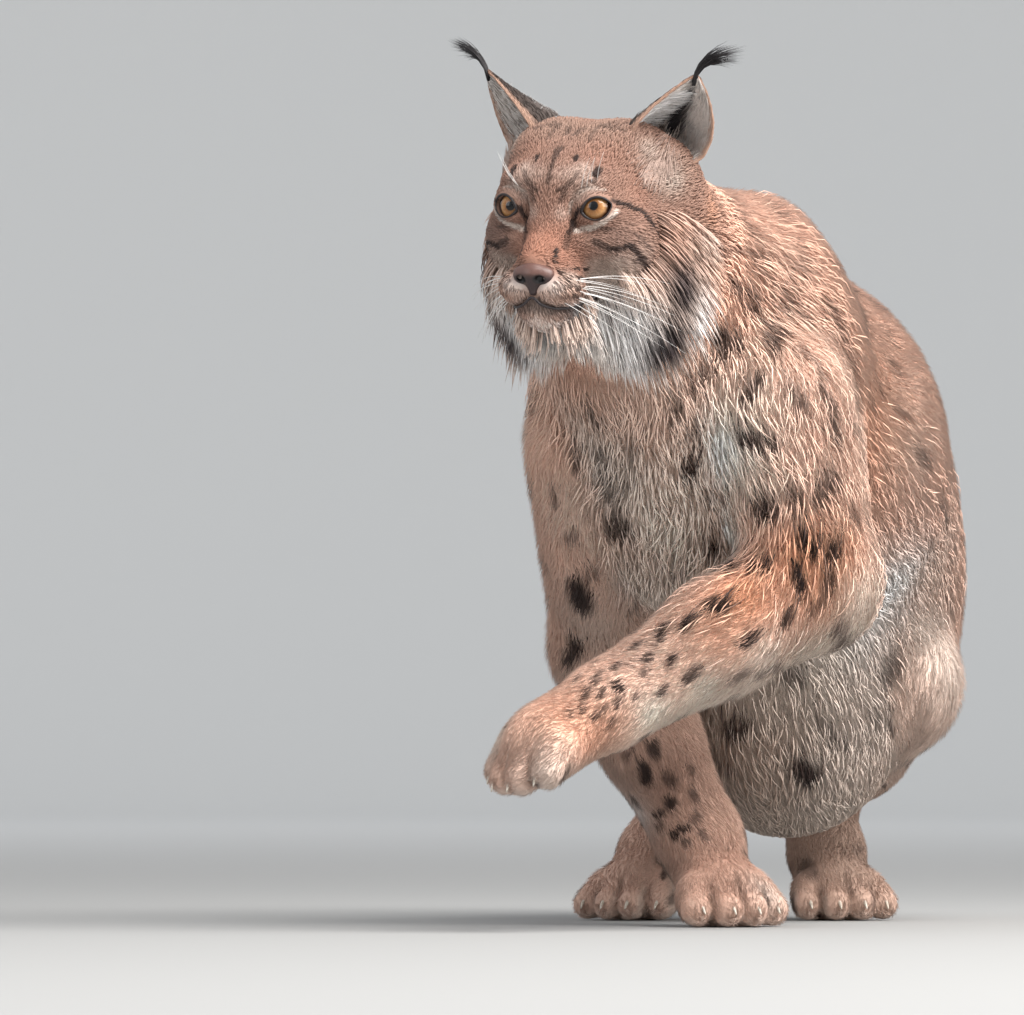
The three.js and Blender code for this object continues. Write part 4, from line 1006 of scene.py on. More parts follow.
def coat_colour(p, n):
    """
    The coat's colour at each point: tan, with tinted areas over it on the trunk and on legs and tail, then the
    head's own, and last the brown marks over all of them.
    """
    legs = in_legs(p)
    body = np.tile(TAN, (len(p), 1))
    body = mixed(body, RUFOUS, 0.15 * smooth(0.5, 1.0, n[:, 2]))
    # The pale underside of the lower trunk, greyed as painted shade where it faces down.
    body = mixed(body, GREY_CREAM, 0.85 * smooth(0.1, 0.75, -n[:, 2]) * smooth(330, 240, p[:, 2]))
    body = mixed(body, CREAM, 0.5 * smooth(0.55, 1.0, -n[:, 1]) * smooth(110, 40, p[:, 1]))
    body = tinted(body, to_left(p), body_tints)
    leg = np.tile(midway(TAN, PALE, 0.35), (len(p), 1))
    leg = mixed(leg, CREAM, 0.6 * smooth(0.2, 0.9, -n[:, 2]))
    leg = mixed(
        leg, GREY_CREAM, 0.5 * smooth(0.3, 0.9, -n[:, 0] * np.sign(p[:, 0])) * smooth(200, 260, p[:, 1])
    )
    leg = tinted(leg, p, leg_tints)
    found = body + (leg - body) * legs[:, None]
    tail_share = smooth(560, 600, p[:, 1])
    found = mixed(found, TAN * 0.8, 0.5 * tail_share)
    found = mixed(found, DARK_BROWN * 0.6, tail_share * smooth(252, 236, p[:, 2]))
    # Painted shade: darker grey-brown in the grooves between the toes.
    found = mixed(found, GREY_BROWN * 0.4, 0.4 * between_toes(p))
    # Painted light: the colours of body and limbs made up to a quarter brighter from 250 mm up and over the front
    # of the chest, fading out between 500 and 600 mm, where more light falls on them.
    high = np.maximum(smooth(250, 400, p[:, 2]), smooth(90, 40, p[:, 1]) * smooth(110, 150, p[:, 2]))
    found = np.minimum(found * (1 + 0.25 * smooth(600, 500, p[:, 2]) * high)[:, None], 0.93)
    q = in_head(p)
    aside = to_left(q)
    head = np.tile(HEAD_TAN, (len(p), 1))
    head = mixed(head, WHITE, smooth(-50, -72, q[:, 2]) * 0.8)
    head = tinted(head, aside, face_tints)
    head = mixed(head, WHITE, 0.9 * smooth(-58, -66, q[:, 2]) * smooth(-50, -62, q[:, 1]))
    head = mixed(head, CREAM, share_of_strokes(aside, *face_pale, soft=0.6))
    # The dark lower lip: the lip's own dark colour at the mouth, carried down under it over lip_depth as painted
    # shade below the mouth.
    mouth_height = np.interp(aside[:, 0], MOUTH[:, 0], MOUTH[:, 2])
    lip_depth = np.interp(aside[:, 0], [0, 12, 20, 28, 36], [15, 14, 11, 6, 2.5])
    below = mouth_height - q[:, 2]
    dark_lip_and_shade = smooth(-1.0, 0.4, below)
    dark_lip_and_shade *= smooth(lip_depth + 2.5, lip_depth - 2.5, below + waves(p, 9, 1.0))
    dark_lip_and_shade *= smooth(-44, -54, q[:, 1])
    head = mixed(head, EAR_DARK * 0.6, 0.92 * dark_lip_and_shade)
    heady = smooth(122, 92, np.linalg.norm(q, axis=1))
    found = found + (head - found) * heady[:, None]
    wander = np.stack([waves(p, 26, turn) for turn in (0.3, 2.0, 4.0)], axis=1)
    spots = share_of_strokes(p + 1.2 * wander, *body_marks) * (1 - heady)
    spots = np.maximum(spots, share_of_strokes(p + 1.2 * wander, *far_marks) * (1 - heady))
    found = mixed(found, DARK_BROWN, np.minimum(spots, 1))
    streaks = share_of_strokes(aside + 0.5 * wander, *face_marks, soft=0.35)
    return mixed(found, DARK_BROWN, heady * streaks)


mesh_normals = bpy.data.meshes.new("normals")
mesh_normals.from_pydata(skin_points, [], [tuple(f) for f in skin_faces])
mesh_normals.update()
skin_normals = read(mesh_normals.vertices, "normal", 3)

# Spots where the photograph doesn't show the coat: scattered apart over the skin, along the lie of the hair.
LEG_SPOTS_APART, BODY_SPOTS_APART = 21, 34
sample = draw.permutation(len(skin_points))[:16000]
toward = unit(CAMERA_AT - skin_points[sample])
faces_camera = (skin_normals[sample] * toward).sum(1) > 0.12
hidden = np.array([
    not shows or skin_tree.ray_cast((a + 6 * n).tolist(), v.tolist())[0] is not None
    for a, n, v, shows in zip(skin_points[sample], skin_normals[sample], toward, faces_camera)
])
q = in_head(skin_points[sample])
candidates = sample[hidden & (np.linalg.norm(q, axis=1) > 116) & (skin_points[sample][:, 2] > 12)]
leggy = in_legs(skin_points[candidates])
kept = []
for n, leg in zip(candidates, leggy):
    apart = LEG_SPOTS_APART if leg > 0.5 else BODY_SPOTS_APART
    if all(((skin_points[n] - skin_points[m]) ** 2).sum() > apart**2 for m in kept):
        kept.append(n)
kept = np.array(kept)
leggy = in_legs(skin_points[kept])
way = lie(skin_points[kept], skin_normals[kept])
length = np.where(leggy > 0.5, 3.5, 8) * draw.uniform(0.7, 1.3, len(kept))
ends = np.stack(
    [skin_points[kept] - way * length[:, None], skin_points[kept] + way * length[:, None]], axis=1
)
belly = smooth(0.2, 0.8, -skin_normals[kept][:, 2])
dark = np.where(leggy > 0.5, 0.8, 0.42 - 0.12 * belly) * draw.uniform(0.7, 1.1, len(kept))
far_marks = (ends, np.where(leggy > 0.5, 3.6, 4.6) * draw.uniform(0.75, 1.2, len(kept)), dark)


def painted(piece, name, colours):
    """Puts a colour for each point on a piece's mesh."""
    layer = piece.data.color_attributes.new(name, "FLOAT_COLOR", "POINT")
    full = np.concatenate([colours, np.ones((len(colours), 1))], axis=1)
    layer.data.foreach_set("color", full.astype(np.float32).ravel())


skin_look, shader, place = material("skin under the coat", 0.85)
coat_paint = place.node("VertexColor", {"layer_name": "coat"})
fine_hair = place.node("TexNoise", {}, Vector=place, Scale=900.0, Detail=2.0)
feed(
    shader, "Base Color",
    coat_paint.times(fine_hair.ramp((0.3, (0.55, 0.5, 0.47)), (0.75, (1, 1, 1))), 0.35),
)
feed(shader, "Normal", place.node("Bump", {}, Strength=0.4, Distance=0.0006, Height=fine_hair))
FLESH_NODES = [
    "head", "neck", "torso", "tail", "foreleg_left", "forepaw_left", "foreleg_right", "forepaw_right",
    "hind_leg_left", "hind_paw_left", "hind_leg_right", "hind_paw_right",
]
skin = new_piece(
    "skin", to_metres(skin_points), [tuple(f) for f in skin_faces], skin_look, "coat", FLESH_NODES
)
painted(skin, "coat", coat_colour(skin_points, skin_normals))


# The coat: thin tufts, each a tapered blade of three sides that leaves its root along the lie of the hair. They
# are short and fine on face and feet, and longer on the body, where each is one straight spike. Those of the head
# and the long hair bend over the skin in front. A tuft takes the colour of the place under its outer half.
bpy.context.view_layer.objects.active = skin
skin.select_set(True)
bpy.ops.object.mode_set(mode="EDIT")
bpy.ops.mesh.select_all(action="SELECT")
bpy.ops.uv.smart_project(angle_limit=math.radians(66), island_margin=0.003)
bpy.ops.object.mode_set(mode="OBJECT")
skin.data.uv_layers.active.name = "OFBake"
loop_points = read(skin.data.loops, "vertex_index", kind=np.int64)
loop_uv = read(skin.data.uv_layers["OFBake"].uv, "vector", 2)
starts = read(skin.data.polygons, "loop_start", kind=np.int64)
sides = read(skin.data.polygons, "loop_total", kind=np.int64)
fans = [
    starts[sides >= 3][:, None] + np.array([0, 1, 2]), starts[sides >= 4][:, None] + np.array([0, 2, 3])
]
corners = np.concatenate(fans)
skin_triangles = loop_points[corners]


def scattered(density, chosen, seed):
    """Roots spread over the chosen triangles at so many a square millimetre: place, normal, unwrapped place."""
    random = np.random.default_rng(seed)
    a, b, c = (skin_points[skin_triangles[chosen, k]] for k in range(3))
    area = np.linalg.norm(np.cross(b - a, c - a), axis=1) / 2
    total = np.cumsum(area * density)
    count = int(total[-1])
    which = np.searchsorted(total, (np.arange(count) + random.uniform(0, 1, count)) * total[-1] / count)
    which = np.minimum(which, len(total) - 1)
    u, v = random.uniform(0, 1, (2, count))
    u, v = np.where(u + v > 1, 1 - u, u), np.where(u + v > 1, 1 - v, v)
    weight = np.stack([1 - u - v, u, v], axis=1)[:, :, None]
    three = skin_triangles[chosen][which]
    roots = (skin_points[three] * weight).sum(1)
    normals = unit((skin_normals[three] * weight).sum(1))
    flat = (loop_uv[corners[chosen][which]] * weight).sum(1)
    return roots, normals, flat, random


def nearest_skin(p):
    """The nearest place of the skin to each point, and the skin's direction outwards there."""
    found = [skin_tree.find_nearest(q)[:2] for q in p.tolist()]
    return np.array([f[0] for f in found]), np.array([f[1] for f in found])


def unwrapped(p):
    """The place on the skin's unwrap of the face nearest to each point."""
    return loop_uv[starts[[skin_tree.find_nearest(q)[2] for q in p.tolist()]]]


def blades(spine, across, outwards, width, thick):
    """
    Closed tapered blades. spine holds each tuft's points from root to tip, across and outwards its directions
    there, and width and thick its size there. Each point but the last carries a ring of three: one at either
    edge and one on the ridge. The last is the tip.
    """
    count, rings = spine.shape[:2]
    rings -= 1
    edge = across[:, :rings] * (width / 2)[:, :rings, None]
    ridge = outwards[:, :rings] * thick[:, :rings, None]
    ring = np.stack([spine[:, :rings] - edge, spine[:, :rings] + edge, spine[:, :rings] + ridge], axis=2)
    points = np.concatenate([ring.reshape(count, rings * 3, 3), spine[:, rings:]], axis=1)
    faces = [(0, 1, 2)]
    for k in range(rings - 1):
        for a, b in ((0, 1), (1, 2), (2, 0)):
            a, b, c, d = 3 * k + a, 3 * k + b, 3 * k + 3 + a, 3 * k + 3 + b
            faces += [(a, c, b), (b, c, d)]
    last = 3 * (rings - 1)
    tip = 3 * rings
    faces += [(last, tip, last + 1), (last + 1, tip, last + 2), (last + 2, tip, last)]
    size = 3 * rings + 1
    faces = (np.arange(count)[:, None, None] * size + np.array(faces)).reshape(-1, 3)
    return points.reshape(-1, 3), faces, size


def laid(spine, facing):
    """The directions across and outwards at each point of tufts' spines, where facing is roughly outwards."""
    run = unit(np.gradient(spine, axis=1))
    across = unit(np.cross(facing, run))
    return across, np.cross(run, across)


PATCH = 0.003


def coat_piece(name, spine, across, outwards, width, thick, colours, flat, slot="coat"):
    """One joined piece of tufts, its colours and the OFBake map, where a tuft is a patch at its root's place."""
    points, faces, size = blades(spine, across, outwards, width, thick)
    piece = new_piece(name, to_metres(points), faces, coat_look, slot)
    painted(piece, "coat", colours.reshape(-1, 3))
    low, high = flat.min(0), flat.max(0)
    flat = 0.004 + 0.992 * (flat - low) / (high - low).max()
    rings = (size - 1) // 3
    patch = np.zeros((size, 2))
    patch[:-1, 0] = np.tile([-0.5, 0.5, 0.0], rings)
    patch[:-1, 1] = np.repeat(np.arange(rings) / rings, 3) - 0.5
    patch[-1] = (0, 0.5)
    spots = (flat[:, None] + PATCH * patch).reshape(-1, 2)
    layer = piece.data.uv_layers.new(name="OFBake")
    layer.uv.foreach_set("vector", spots[faces.ravel()].astype(np.float32).ravel())


def tuft_colours(colour, random, rings, root_share=0.93, tip_share=1.08):
    """Each tuft's colours, from one for it or one for each point: darker at the root, lighter at the tip."""
    own = random.uniform(0.88, 1.12, (len(colour), 1, 1))
    along = np.interp(np.linspace(0, 1, rings + 1), [0, 0.55, 1], [root_share, 1.0, tip_share])
    made = colour.reshape(len(colour), -1, 3) * own * along[None, :, None]
    around = np.tile([0.88, 0.96, 1.1], rings)
    made = np.concatenate(
        [np.repeat(made[:, :rings], 3, axis=1) * around[None, :, None], made[:, rings:]], axis=1
    )
    return np.minimum(made, 0.95)


coat_look, shader, place = material("hair", 0.62)
feed(shader, "Base Color", place.node("VertexColor", {"layer_name": "coat"}))
nose_body = together(4, [
    oval((0, -89, -33.5), 15.5, 7.5, 6),
    limb((0, -88.5, -36), (0, -90, -47.5), 10.5, 3.4),
    *both(lambda s: oval((9 * s, -88, -37), 7, 7.5, 6, 0, 20 * s)),
])


def in_the_bare(p, margin):
    """Whether each point lies on the nose leather or in an eye's opening, or within the margin of them."""
    q = in_head(p)
    bare = nose_body(q) < 0.4 * margin
    for side in (1, -1):
        across, up, gaze = eye_axes(side)
        rel = q - EYE * (side, 1, 1)
        by_eye = (rel @ gaze > 0) & (np.linalg.norm(rel, axis=1) < 24)
        bare |= by_eye & (past_opening(rel @ across, rel @ up) < margin)
    return bare


def grow(name, chosen, seed, coverage, length_of, stand=1.0, rings=2, stout=1.0):
    """Tufts over the chosen triangles, laid along the lie, so many that they cover the skin coverage times."""
    length = length_of(middles[chosen])
    width = stout * (0.5 + 0.035 * length)
    roots, normals, flat, random = scattered(coverage / (0.55 * length * width), chosen, seed)
    length = length_of(roots) * random.uniform(0.75, 1.25, len(roots))
    width = stout * (0.5 + 0.035 * length) * random.uniform(0.75, 1.2, len(roots))
    depth = coat_depth(roots) * random.uniform(0.6, 1.1, len(roots)) * stand
    by_paw = np.min([np.linalg.norm(roots - paw, axis=1) for paw in PAWS], axis=0)
    depth *= 1 + 0.7 * smooth(90, 50, by_paw)
    way = lie(roots, normals)
    side = np.cross(normals, way)
    bend = random.normal(0, 0.2, (len(roots), 1)) + 0.3 * waves(roots, 55, seed)[:, None]
    way = unit(way + bend * side)
    first, first_out = nearest_skin(roots + way * (0.5 * length)[:, None])
    onward = lie(first, first_out)
    onward = unit(onward + 1.3 * bend * np.cross(first_out, onward))
    second, second_out = nearest_skin(first + onward * (0.5 * length)[:, None])
    bare = in_the_bare(roots, 1.2) | in_the_bare(first, 0.6) | in_the_bare(second, 0.2)
    keep = ~bare
    roots, normals, flat, width, depth = (a[keep] for a in (roots, normals, flat, width, depth))
    first, first_out, second, second_out = (a[keep] for a in (first, first_out, second, second_out))
    start = roots - 0.8 * normals
    middle_up = first + first_out * (0.75 * depth)[:, None]
    end = second + second_out * (0.7 * depth)[:, None]
    end[:, 2] = np.maximum(end[:, 2], 0.6)
    middle_up[:, 2] = np.maximum(middle_up[:, 2], 1.0)
    t = np.linspace(0, 1, rings + 1)[None, :, None]
    control = 2 * middle_up - (start + end) / 2
    spine = start[:, None] * (1 - t) ** 2 + control[:, None] * 2 * t * (1 - t) + end[:, None] * t**2
    spine[:, :, 2] = np.maximum(spine[:, :, 2], 0.6)
    across, out = laid(spine, normals[:, None] * (1 - t) + second_out[:, None] * t)
    taper = np.interp(np.linspace(0, 1, rings + 1), [0, 0.5, 1], [0.8 + 0.3 * (rings == 1), 1.0, 0.0])
    colour = coat_colour(0.4 * first + 0.6 * second, first_out)
    colours = tuft_colours(colour, random, rings)
    width = width[:, None] * taper
    coat_piece(name, spine, across, out, width, 0.3 * width, colours, flat)


def hair_length(p):
    """The length of the hair: about three times the coat's depth, and between fixed lengths on legs and head."""
    long = 3.2 * coat_depth(p)
    legs = in_legs(p)
    long = np.where(legs > 0.5, np.clip(0.62 * long, 10, 18), long)
    q = in_head(p)
    far = np.linalg.norm(q - (0, -10, 0), axis=1)
    cheek = smooth(30, 66, np.abs(q[:, 0])) * smooth(20, -30, q[:, 2]) * smooth(-60, -20, q[:, 1])
    by_nose = np.linalg.norm(q - NOSE_TIP, axis=1)
    head = 3.4 + 1.6 * smooth(22, 45, by_nose) + 9 * smooth(58, 110, far) + 9 * cheek
    return np.where(far < 112, head, long)


middles = skin_points[skin_triangles].mean(1)
facing = unit(skin_normals[skin_triangles].sum(1))
in_head_far = np.linalg.norm(in_head(middles), axis=1)
leg_share = in_legs(middles)
left = middles[:, 0] > 0
bone = np.stack([limb(a, b, r, r)(middles) for a, b, r, _ in BONES])
bone[:5] += np.where(leg_share > 0.5, FAR, 0)
bone = bone.argmin(0)
# Each part of the coat: its faces, of those still free, how often its tufts cover them, and a tuft's rings
PARTS = [
    ("coat_face", in_head_far < 80, 1.25, 2),
    ("coat_head_back", in_head_far < 118, 2.0, 2),
    ("coat_foreleg_left", (leg_share > 0.5) & (bone >= 5) & (bone <= 7), 2.2, 1),
    ("coat_foreleg_right", (leg_share > 0.5) & (bone >= 8) & (bone <= 10), 2.0, 1),
    ("coat_hind_left", (leg_share > 0.5) & (bone >= 12) & (bone <= 14), 1.7, 1),
    ("coat_hind_right", (leg_share > 0.5) & (bone >= 15), 1.3, 1),
    ("coat_neck", (middles[:, 1] < 120) & (middles[:, 2] > 380), 5.5, 1),
    ("coat_chest", middles[:, 1] < 120, 5.0, 1),
    ("coat_flank_left", left & (middles[:, 1] < 330), 5.0, 1),
    ("coat_flank_right", middles[:, 1] < 330, 4.2, 1),
    ("coat_rump_left", left, 4.6, 1),
    ("coat_rump_right", np.ones_like(left), 4.2, 1),
]
taken = np.zeros(len(middles), dtype=bool)
for seed, (name, here, coverage, rings) in enumerate(PARTS):
    grow(name, np.flatnonzero(here & ~taken), seed, coverage, hair_length, rings=rings)
    taken |= here

# Long hair over the short coat: down chest and throat, over the left shoulder and upper arm, and under the
# belly. Each patch thins out towards its edge.
LONG_HAIR = 36.0
off_legs = smooth(0.6, 0.4, leg_share) * smooth(110, 135, in_head_far)
on_chest = off_legs * smooth(120, 85, middles[:, 1]) * smooth(-0.05, -0.5, facing[:, 1])
on_shoulder = smooth(50, 80, middles[:, 0]) * smooth(0.1, 0.4, facing[:, 0]) * smooth(20, 50, middles[:, 1])
on_shoulder *= smooth(150, 110, middles[:, 1]) * smooth(190, 240, middles[:, 2])
on_shoulder *= smooth(430, 370, middles[:, 2])
on_belly = off_legs * smooth(90, 140, middles[:, 1]) * smooth(0.35, -0.5, facing[:, 2])
on_belly *= smooth(430, 270, middles[:, 2])
upper_arm = np.exp(-((middles - on_skin(730, 455)) ** 2).sum(1) / 80**2) * (middles[:, 0] > 20)
on_shoulder = np.maximum(0.7 * on_shoulder, upper_arm)
LONG_PATCHES = [
    ("long_chest", on_chest, 1.5, 1.1),
    ("long_shoulder", on_shoulder, 1.4, 0.9),
    ("long_belly", on_belly, 1.3, 0.9),
]
for seed, (name, share, coverage, stand) in enumerate(LONG_PATCHES):
    here = np.flatnonzero(share > 0.02)
    grow(name, here, 51 + seed, coverage * share[here], lambda p: np.full(len(p), LONG_HAIR), stand, 2, 0.6)


# The ruff: long soft hair that sweeps back from each cheek and down under the jaw, in many thin overlapping
# locks. It is white with a tan edge, and has dark patches below each cheek.
solid_points = []
solid_faces = []
for node in ("head", "neck", "torso", "foreleg_left", "foreleg_right"):
    mesh = bpy.data.objects[node].data
    before = sum(len(p) for p in solid_points)
    solid_points.append(read(mesh.vertices, "co", 3) * 1000 - ORIGIN_SHIFT)
    solid_faces += [tuple(before + n for n in f.vertices) for f in mesh.polygons]
solid_tree = BVHTree.FromPolygons(np.concatenate(solid_points).tolist(), solid_faces)


def on_coat(px, py):
    """The place of a pixel of the photograph on the outside of the coat."""
    hit = solid_tree.ray_cast(CAMERA_AT.tolist(), sight(px, py).tolist())[0]
    return np.array(hit) if hit is not None else on_skin(px, py)


RUFF_BLACK = srgb(48, 34, 38)
RUFF_TINTS = [
    (630, 345, 14, WHITE, 1.0), (640, 368, 13, WHITE, 1.0), (615, 350, 13, WHITE, 1.0),
    (625, 318, 13, WHITE, 0.95), (645, 318, 12, WHITE, 0.8), (605, 330, 10, WHITE, 0.9),
    (590, 320, 10, WHITE, 0.8), (655, 300, 9, CREAM, 0.7), (704, 300, 8, WHITE, 0.9),
    (706, 318, 8, WHITE, 0.9), (699, 335, 8, WHITE, 0.9), (690, 350, 7, WHITE, 0.8),
    (720, 300, 9, TAN, 0.8), (722, 322, 8, TAN, 0.8), (725, 275, 10, ORANGE, 0.5), (700, 262, 9, TAN, 0.6),
    (660, 270, 8, TAN, 0.5), (668, 300, 7, GREY_BROWN, 0.6), (716, 342, 5, RUFF_BLACK, 0.7),
    (694, 268, 5, RUFF_BLACK, 0.5), (672, 322, 8, RUFF_BLACK, 0.85), (675, 338, 9.5, RUFF_BLACK, 1.0),
    (664, 350, 10, RUFF_BLACK, 1.0), (658, 360, 9, RUFF_BLACK, 1.0), (672, 352, 9, RUFF_BLACK, 1.0),
    (656, 345, 6, RUFF_BLACK, 0.9), (690, 228, 18, TAN, 0.9), (672, 245, 13, TAN, 0.9),
    (700, 262, 12, GREY_BROWN, 0.5), (650, 282, 9, HEAD_TAN, 0.7), (700, 235, 14, HEAD_TAN, 0.7),
    # The grey cream areas under the chin, at pixels (560, 345) and (590, 352), are painted shade below the jaw.
    (680, 260, 12, HEAD_TAN, 0.6), (560, 345, 14, GREY_CREAM, 0.9), (590, 352, 12, GREY_CREAM, 0.8),
    (545, 340, 10, WHITE, 0.7), (712, 250, 13, PALE, 0.6), (660, 225, 10, HEAD_TAN, 0.9),
    (540, 332, 10, WHITE, 0.9), (560, 336, 11, WHITE, 0.9), (520, 326, 9, WHITE, 0.7),
    (578, 330, 10, WHITE, 0.9), (679, 276, 8, RUFF_BLACK, 0.9), (683, 290, 9, RUFF_BLACK, 1.0),
    (685, 302, 8, RUFF_BLACK, 0.9),
]
ruff_tints = placed(RUFF_TINTS, lambda x, y: to_left(in_head(on_coat(x, y))))
RUFF_SPREAD = 1.35


def ruff_colour(p):
    """The ruff's colour at each point, the same on both sides of the head."""
    found = np.tile(midway(CREAM, TAN, 0.35), (len(p), 1))
    return tinted(found, to_left(in_head(p)), ruff_tints, RUFF_SPREAD)


def long_hair(roots, tips, arch, heights, width, seed, colour_of, rings=4):
    """
    Long locks, on curves (1 - t)^2 root + 2 t (1 - t) middle + t^2 tip, bent outwards by arch in the middle and
    kept above the coat's outside by heights that rise from root to tip.
    """
    random = np.random.default_rng(seed)
    t = np.linspace(0, 1, rings + 1)
    middle = (roots + tips) / 2 + arch
    spine = (
        roots[:, None] * ((1 - t) ** 2)[None, :, None]
        + middle[:, None] * (2 * t * (1 - t))[None, :, None]
        + tips[:, None] * (t**2)[None, :, None]
    )
    count = len(roots)
    flat_spine = spine.reshape(-1, 3)
    wanted = (heights[0] + (heights[1] - heights[0]) * t**0.8)[None] * random.uniform(0.25, 1.0, (count, 1))
    wanted[:, 0] = heights[0]
    wanted = wanted.ravel()
    for _ in range(2):
        here, grad = slope(flesh, flat_spine, 1.0)
        lift = np.maximum(wanted - here, 0)
        grad = unit(grad)
        flat_spine = flat_spine + np.minimum(lift, 25)[:, None] * grad
    spine = flat_spine.reshape(count, rings + 1, 3)
    _, grad = slope(flesh, spine[:, rings // 2], 1.0)
    across, out = laid(spine, unit(grad)[:, None])
    twist = random.normal(0, 0.35, (count, 1, 1))
    across, out = across * np.cos(twist) + out * np.sin(twist), out * np.cos(twist) - across * np.sin(twist)
    taper = np.interp(t, [0, 0.25, 0.6, 0.85, 1], [0.6, 1.0, 0.85, 0.45, 0.0])
    wide = width * random.uniform(0.6, 1.25, (count, 1)) * taper
    places = spine[:, 1:].repeat([2] + [1] * (rings - 1), axis=1)
    colours = tuft_colours(
        colour_of(places.reshape(-1, 3)).reshape(count, rings + 1, 3), random, rings, 0.9, 1.05
    )
    return spine, across, out, wide, 0.28 * wide, colours


random = np.random.default_rng(21)
RUFF_LOCKS = 2300
RUFF_LENGTH = 51
parts = []
for side in (1, -1):
    share = random.uniform(0, 1, RUFF_LOCKS) ** 0.9
    tier = random.uniform(-0.75 * smooth(0.25, 0.55, share), 1, RUFF_LOCKS)
    low = np.radians(-16 + 100 * share + random.normal(0, 2.5, RUFF_LOCKS))
    ray = np.stack([np.cos(low) * side, 0 * low, -np.sin(low)], axis=1)
    start = np.stack([56 * ray[:, 0], -20 + 42 * tier - 24 * share**2, -12 + 56 * ray[:, 2]], axis=1)
    way = unit(np.stack([
        side * (0.44 - 0.26 * share) + random.normal(0, 0.07, RUFF_LOCKS),
        0.5 - 0.45 * share + random.normal(0, 0.05, RUFF_LOCKS),
        -0.6 - 0.4 * share,
    ], axis=1))
    by_tier = np.interp(tier, [-0.75, -0.3, 0.1, 1], [0.3, 0.6, 0.84, 1])
    by_place = 0.8 + 0.55 * np.sin(np.pi * share**1.4)
    long = RUFF_LENGTH * by_tier * by_place * random.uniform(0.6, 1.04, RUFF_LOCKS)
    roots, outwards = nearest_skin(from_head(start))
    tips = roots + (way * long[:, None]) @ HEAD_TURNED.T
    parts.append((roots - outwards, tips, (ray * 9) @ HEAD_TURNED.T))
roots, tips, arch = (np.concatenate([part[n] for part in parts]) for n in range(3))
flat = unwrapped(roots)
made = long_hair(roots, tips, arch, (-3, 12), 1.6, 5, ruff_colour)
coat_piece("ruff", *made, flat)


# The eyes: each a wet ball with a slightly bulging cornea, an amber iris of radial fibres with a dark edge,
# and a small round pupil. It is one piece with a clear coat, set behind black lid margins.
IRIS_RADIUS = 9.6
PUPIL_RADIUS = 3.4
IRIS_PIXELS = {1: (594.0, 206.0), -1: (511.0, 206.0)}
iris_look, shader, place = material(
    "eye", 0.12, Coat_Weight=0.6, Coat_Roughness=0.03, Specular_IOR_Level=0.15
)
flat = place.node("UVMap", {"uv_map": "Iris"})
from_pupil = flat.node("VectorMath", {"operation": "SUBTRACT"}, 0, _0=flat, _1=(0.5, 0.5, 0))
radius = from_pupil.node("VectorMath", {"operation": "LENGTH"}, 1, _0=from_pupil) * (2 * EYE_RADIUS)
direction = from_pupil.node("VectorMath", {"operation": "NORMALIZE"}, 0, _0=from_pupil)
fibres = direction.node("TexNoise", {}, Vector=direction, Scale=7.0, Detail=6.0, Roughness=0.75)
cloud = place.node("TexNoise", {}, Vector=flat, Scale=9.0, Detail=3.0)
depth = radius + (fibres - 0.5) * 1.6 + (cloud - 0.5) * 1.4
iris = (depth * (1 / (1.06 * IRIS_RADIUS))).ramp(
    (0.24, srgb(70, 46, 28)), (0.36, srgb(128, 86, 50)), (0.52, srgb(168, 116, 68)),
    (0.72, srgb(186, 138, 88)), (0.84, srgb(150, 108, 68)), (0.95, srgb(52, 36, 28)),
)
iris = iris.times(fibres.ramp((0.35, (0.4, 0.36, 0.3)), (0.62, (1, 1, 1))), 0.55)
past_pupil = radius.step(PUPIL_RADIUS - 0.25, PUPIL_RADIUS + 0.3)
past_iris = radius.step(IRIS_RADIUS - 0.5, IRIS_RADIUS + 0.5)
iris = iris.node("Mix", {"data_type": "RGBA"}, 2, _0=past_pupil, _6=(0.004, 0.004, 0.005, 1), _7=iris)
iris = iris.node("Mix", {"data_type": "RGBA"}, 2, _0=past_iris, _6=iris, _7=(*srgb(38, 24, 20), 1))
feed(shader, "Base Color", iris)

for side, name in ((1, "left"), (-1, "right")):
    centre = from_head(EYE * (side, 1, 1))
    ray = sight(*IRIS_PIXELS[side])
    to_centre = centre - CAMERA_AT
    along = ray @ to_centre
    miss = to_centre - along * ray
    gaze = unit(-miss - ray * math.sqrt(max((0.93 * EYE_RADIUS) ** 2 - miss @ miss, 0)))
    across = unit(np.cross(UP, gaze))
    up = np.cross(gaze, across)
    turn, fall = np.meshgrid(
        np.linspace(0, 2 * math.pi, 64, endpoint=False), np.linspace(0, math.pi, 50)[1:-1]
    )
    polar = np.stack([np.sin(fall) * np.cos(turn), np.sin(fall) * np.sin(turn), np.cos(fall)], axis=-1)
    bulge = EYE_RADIUS - 0.25 + 1.1 * smooth(0.85, 0.2, fall)
    ball = (polar * bulge[..., None]).reshape(-1, 3)
    ball = np.concatenate([[(0, 0, EYE_RADIUS + 0.85)], ball, [(0, 0, -EYE_RADIUS + 0.25)]])
    rows, columns = turn.shape
    index = 1 + np.arange(rows * columns).reshape(rows, columns)
    beside = np.roll(index, -1, axis=1)
    quads = np.stack([index[:-1], index[1:], beside[1:], beside[:-1]], axis=-1).reshape(-1, 4)
    faces = [tuple(f) for f in quads.tolist()]
    faces += [(0, a, b) for a, b in zip(index[0].tolist(), beside[0].tolist())]
    faces += [(len(ball) - 1, b, a) for a, b in zip(index[-1].tolist(), beside[-1].tolist())]
    points = centre + ball[:, :1] * across + ball[:, 1:2] * up + ball[:, 2:] * gaze
    eye = new_piece("eyeball_" + name, to_metres(points), faces, iris_look, "eye", ["eye_" + name])
    layer = eye.data.uv_layers.new(name="Iris")
    corner = read(eye.data.loops, "vertex_index", kind=np.int64)
    spread = ball[:, :2] / (2 * EYE_RADIUS) + 0.5
    layer.uv.foreach_set("vector", spread[corner].astype(np.float32).ravel())

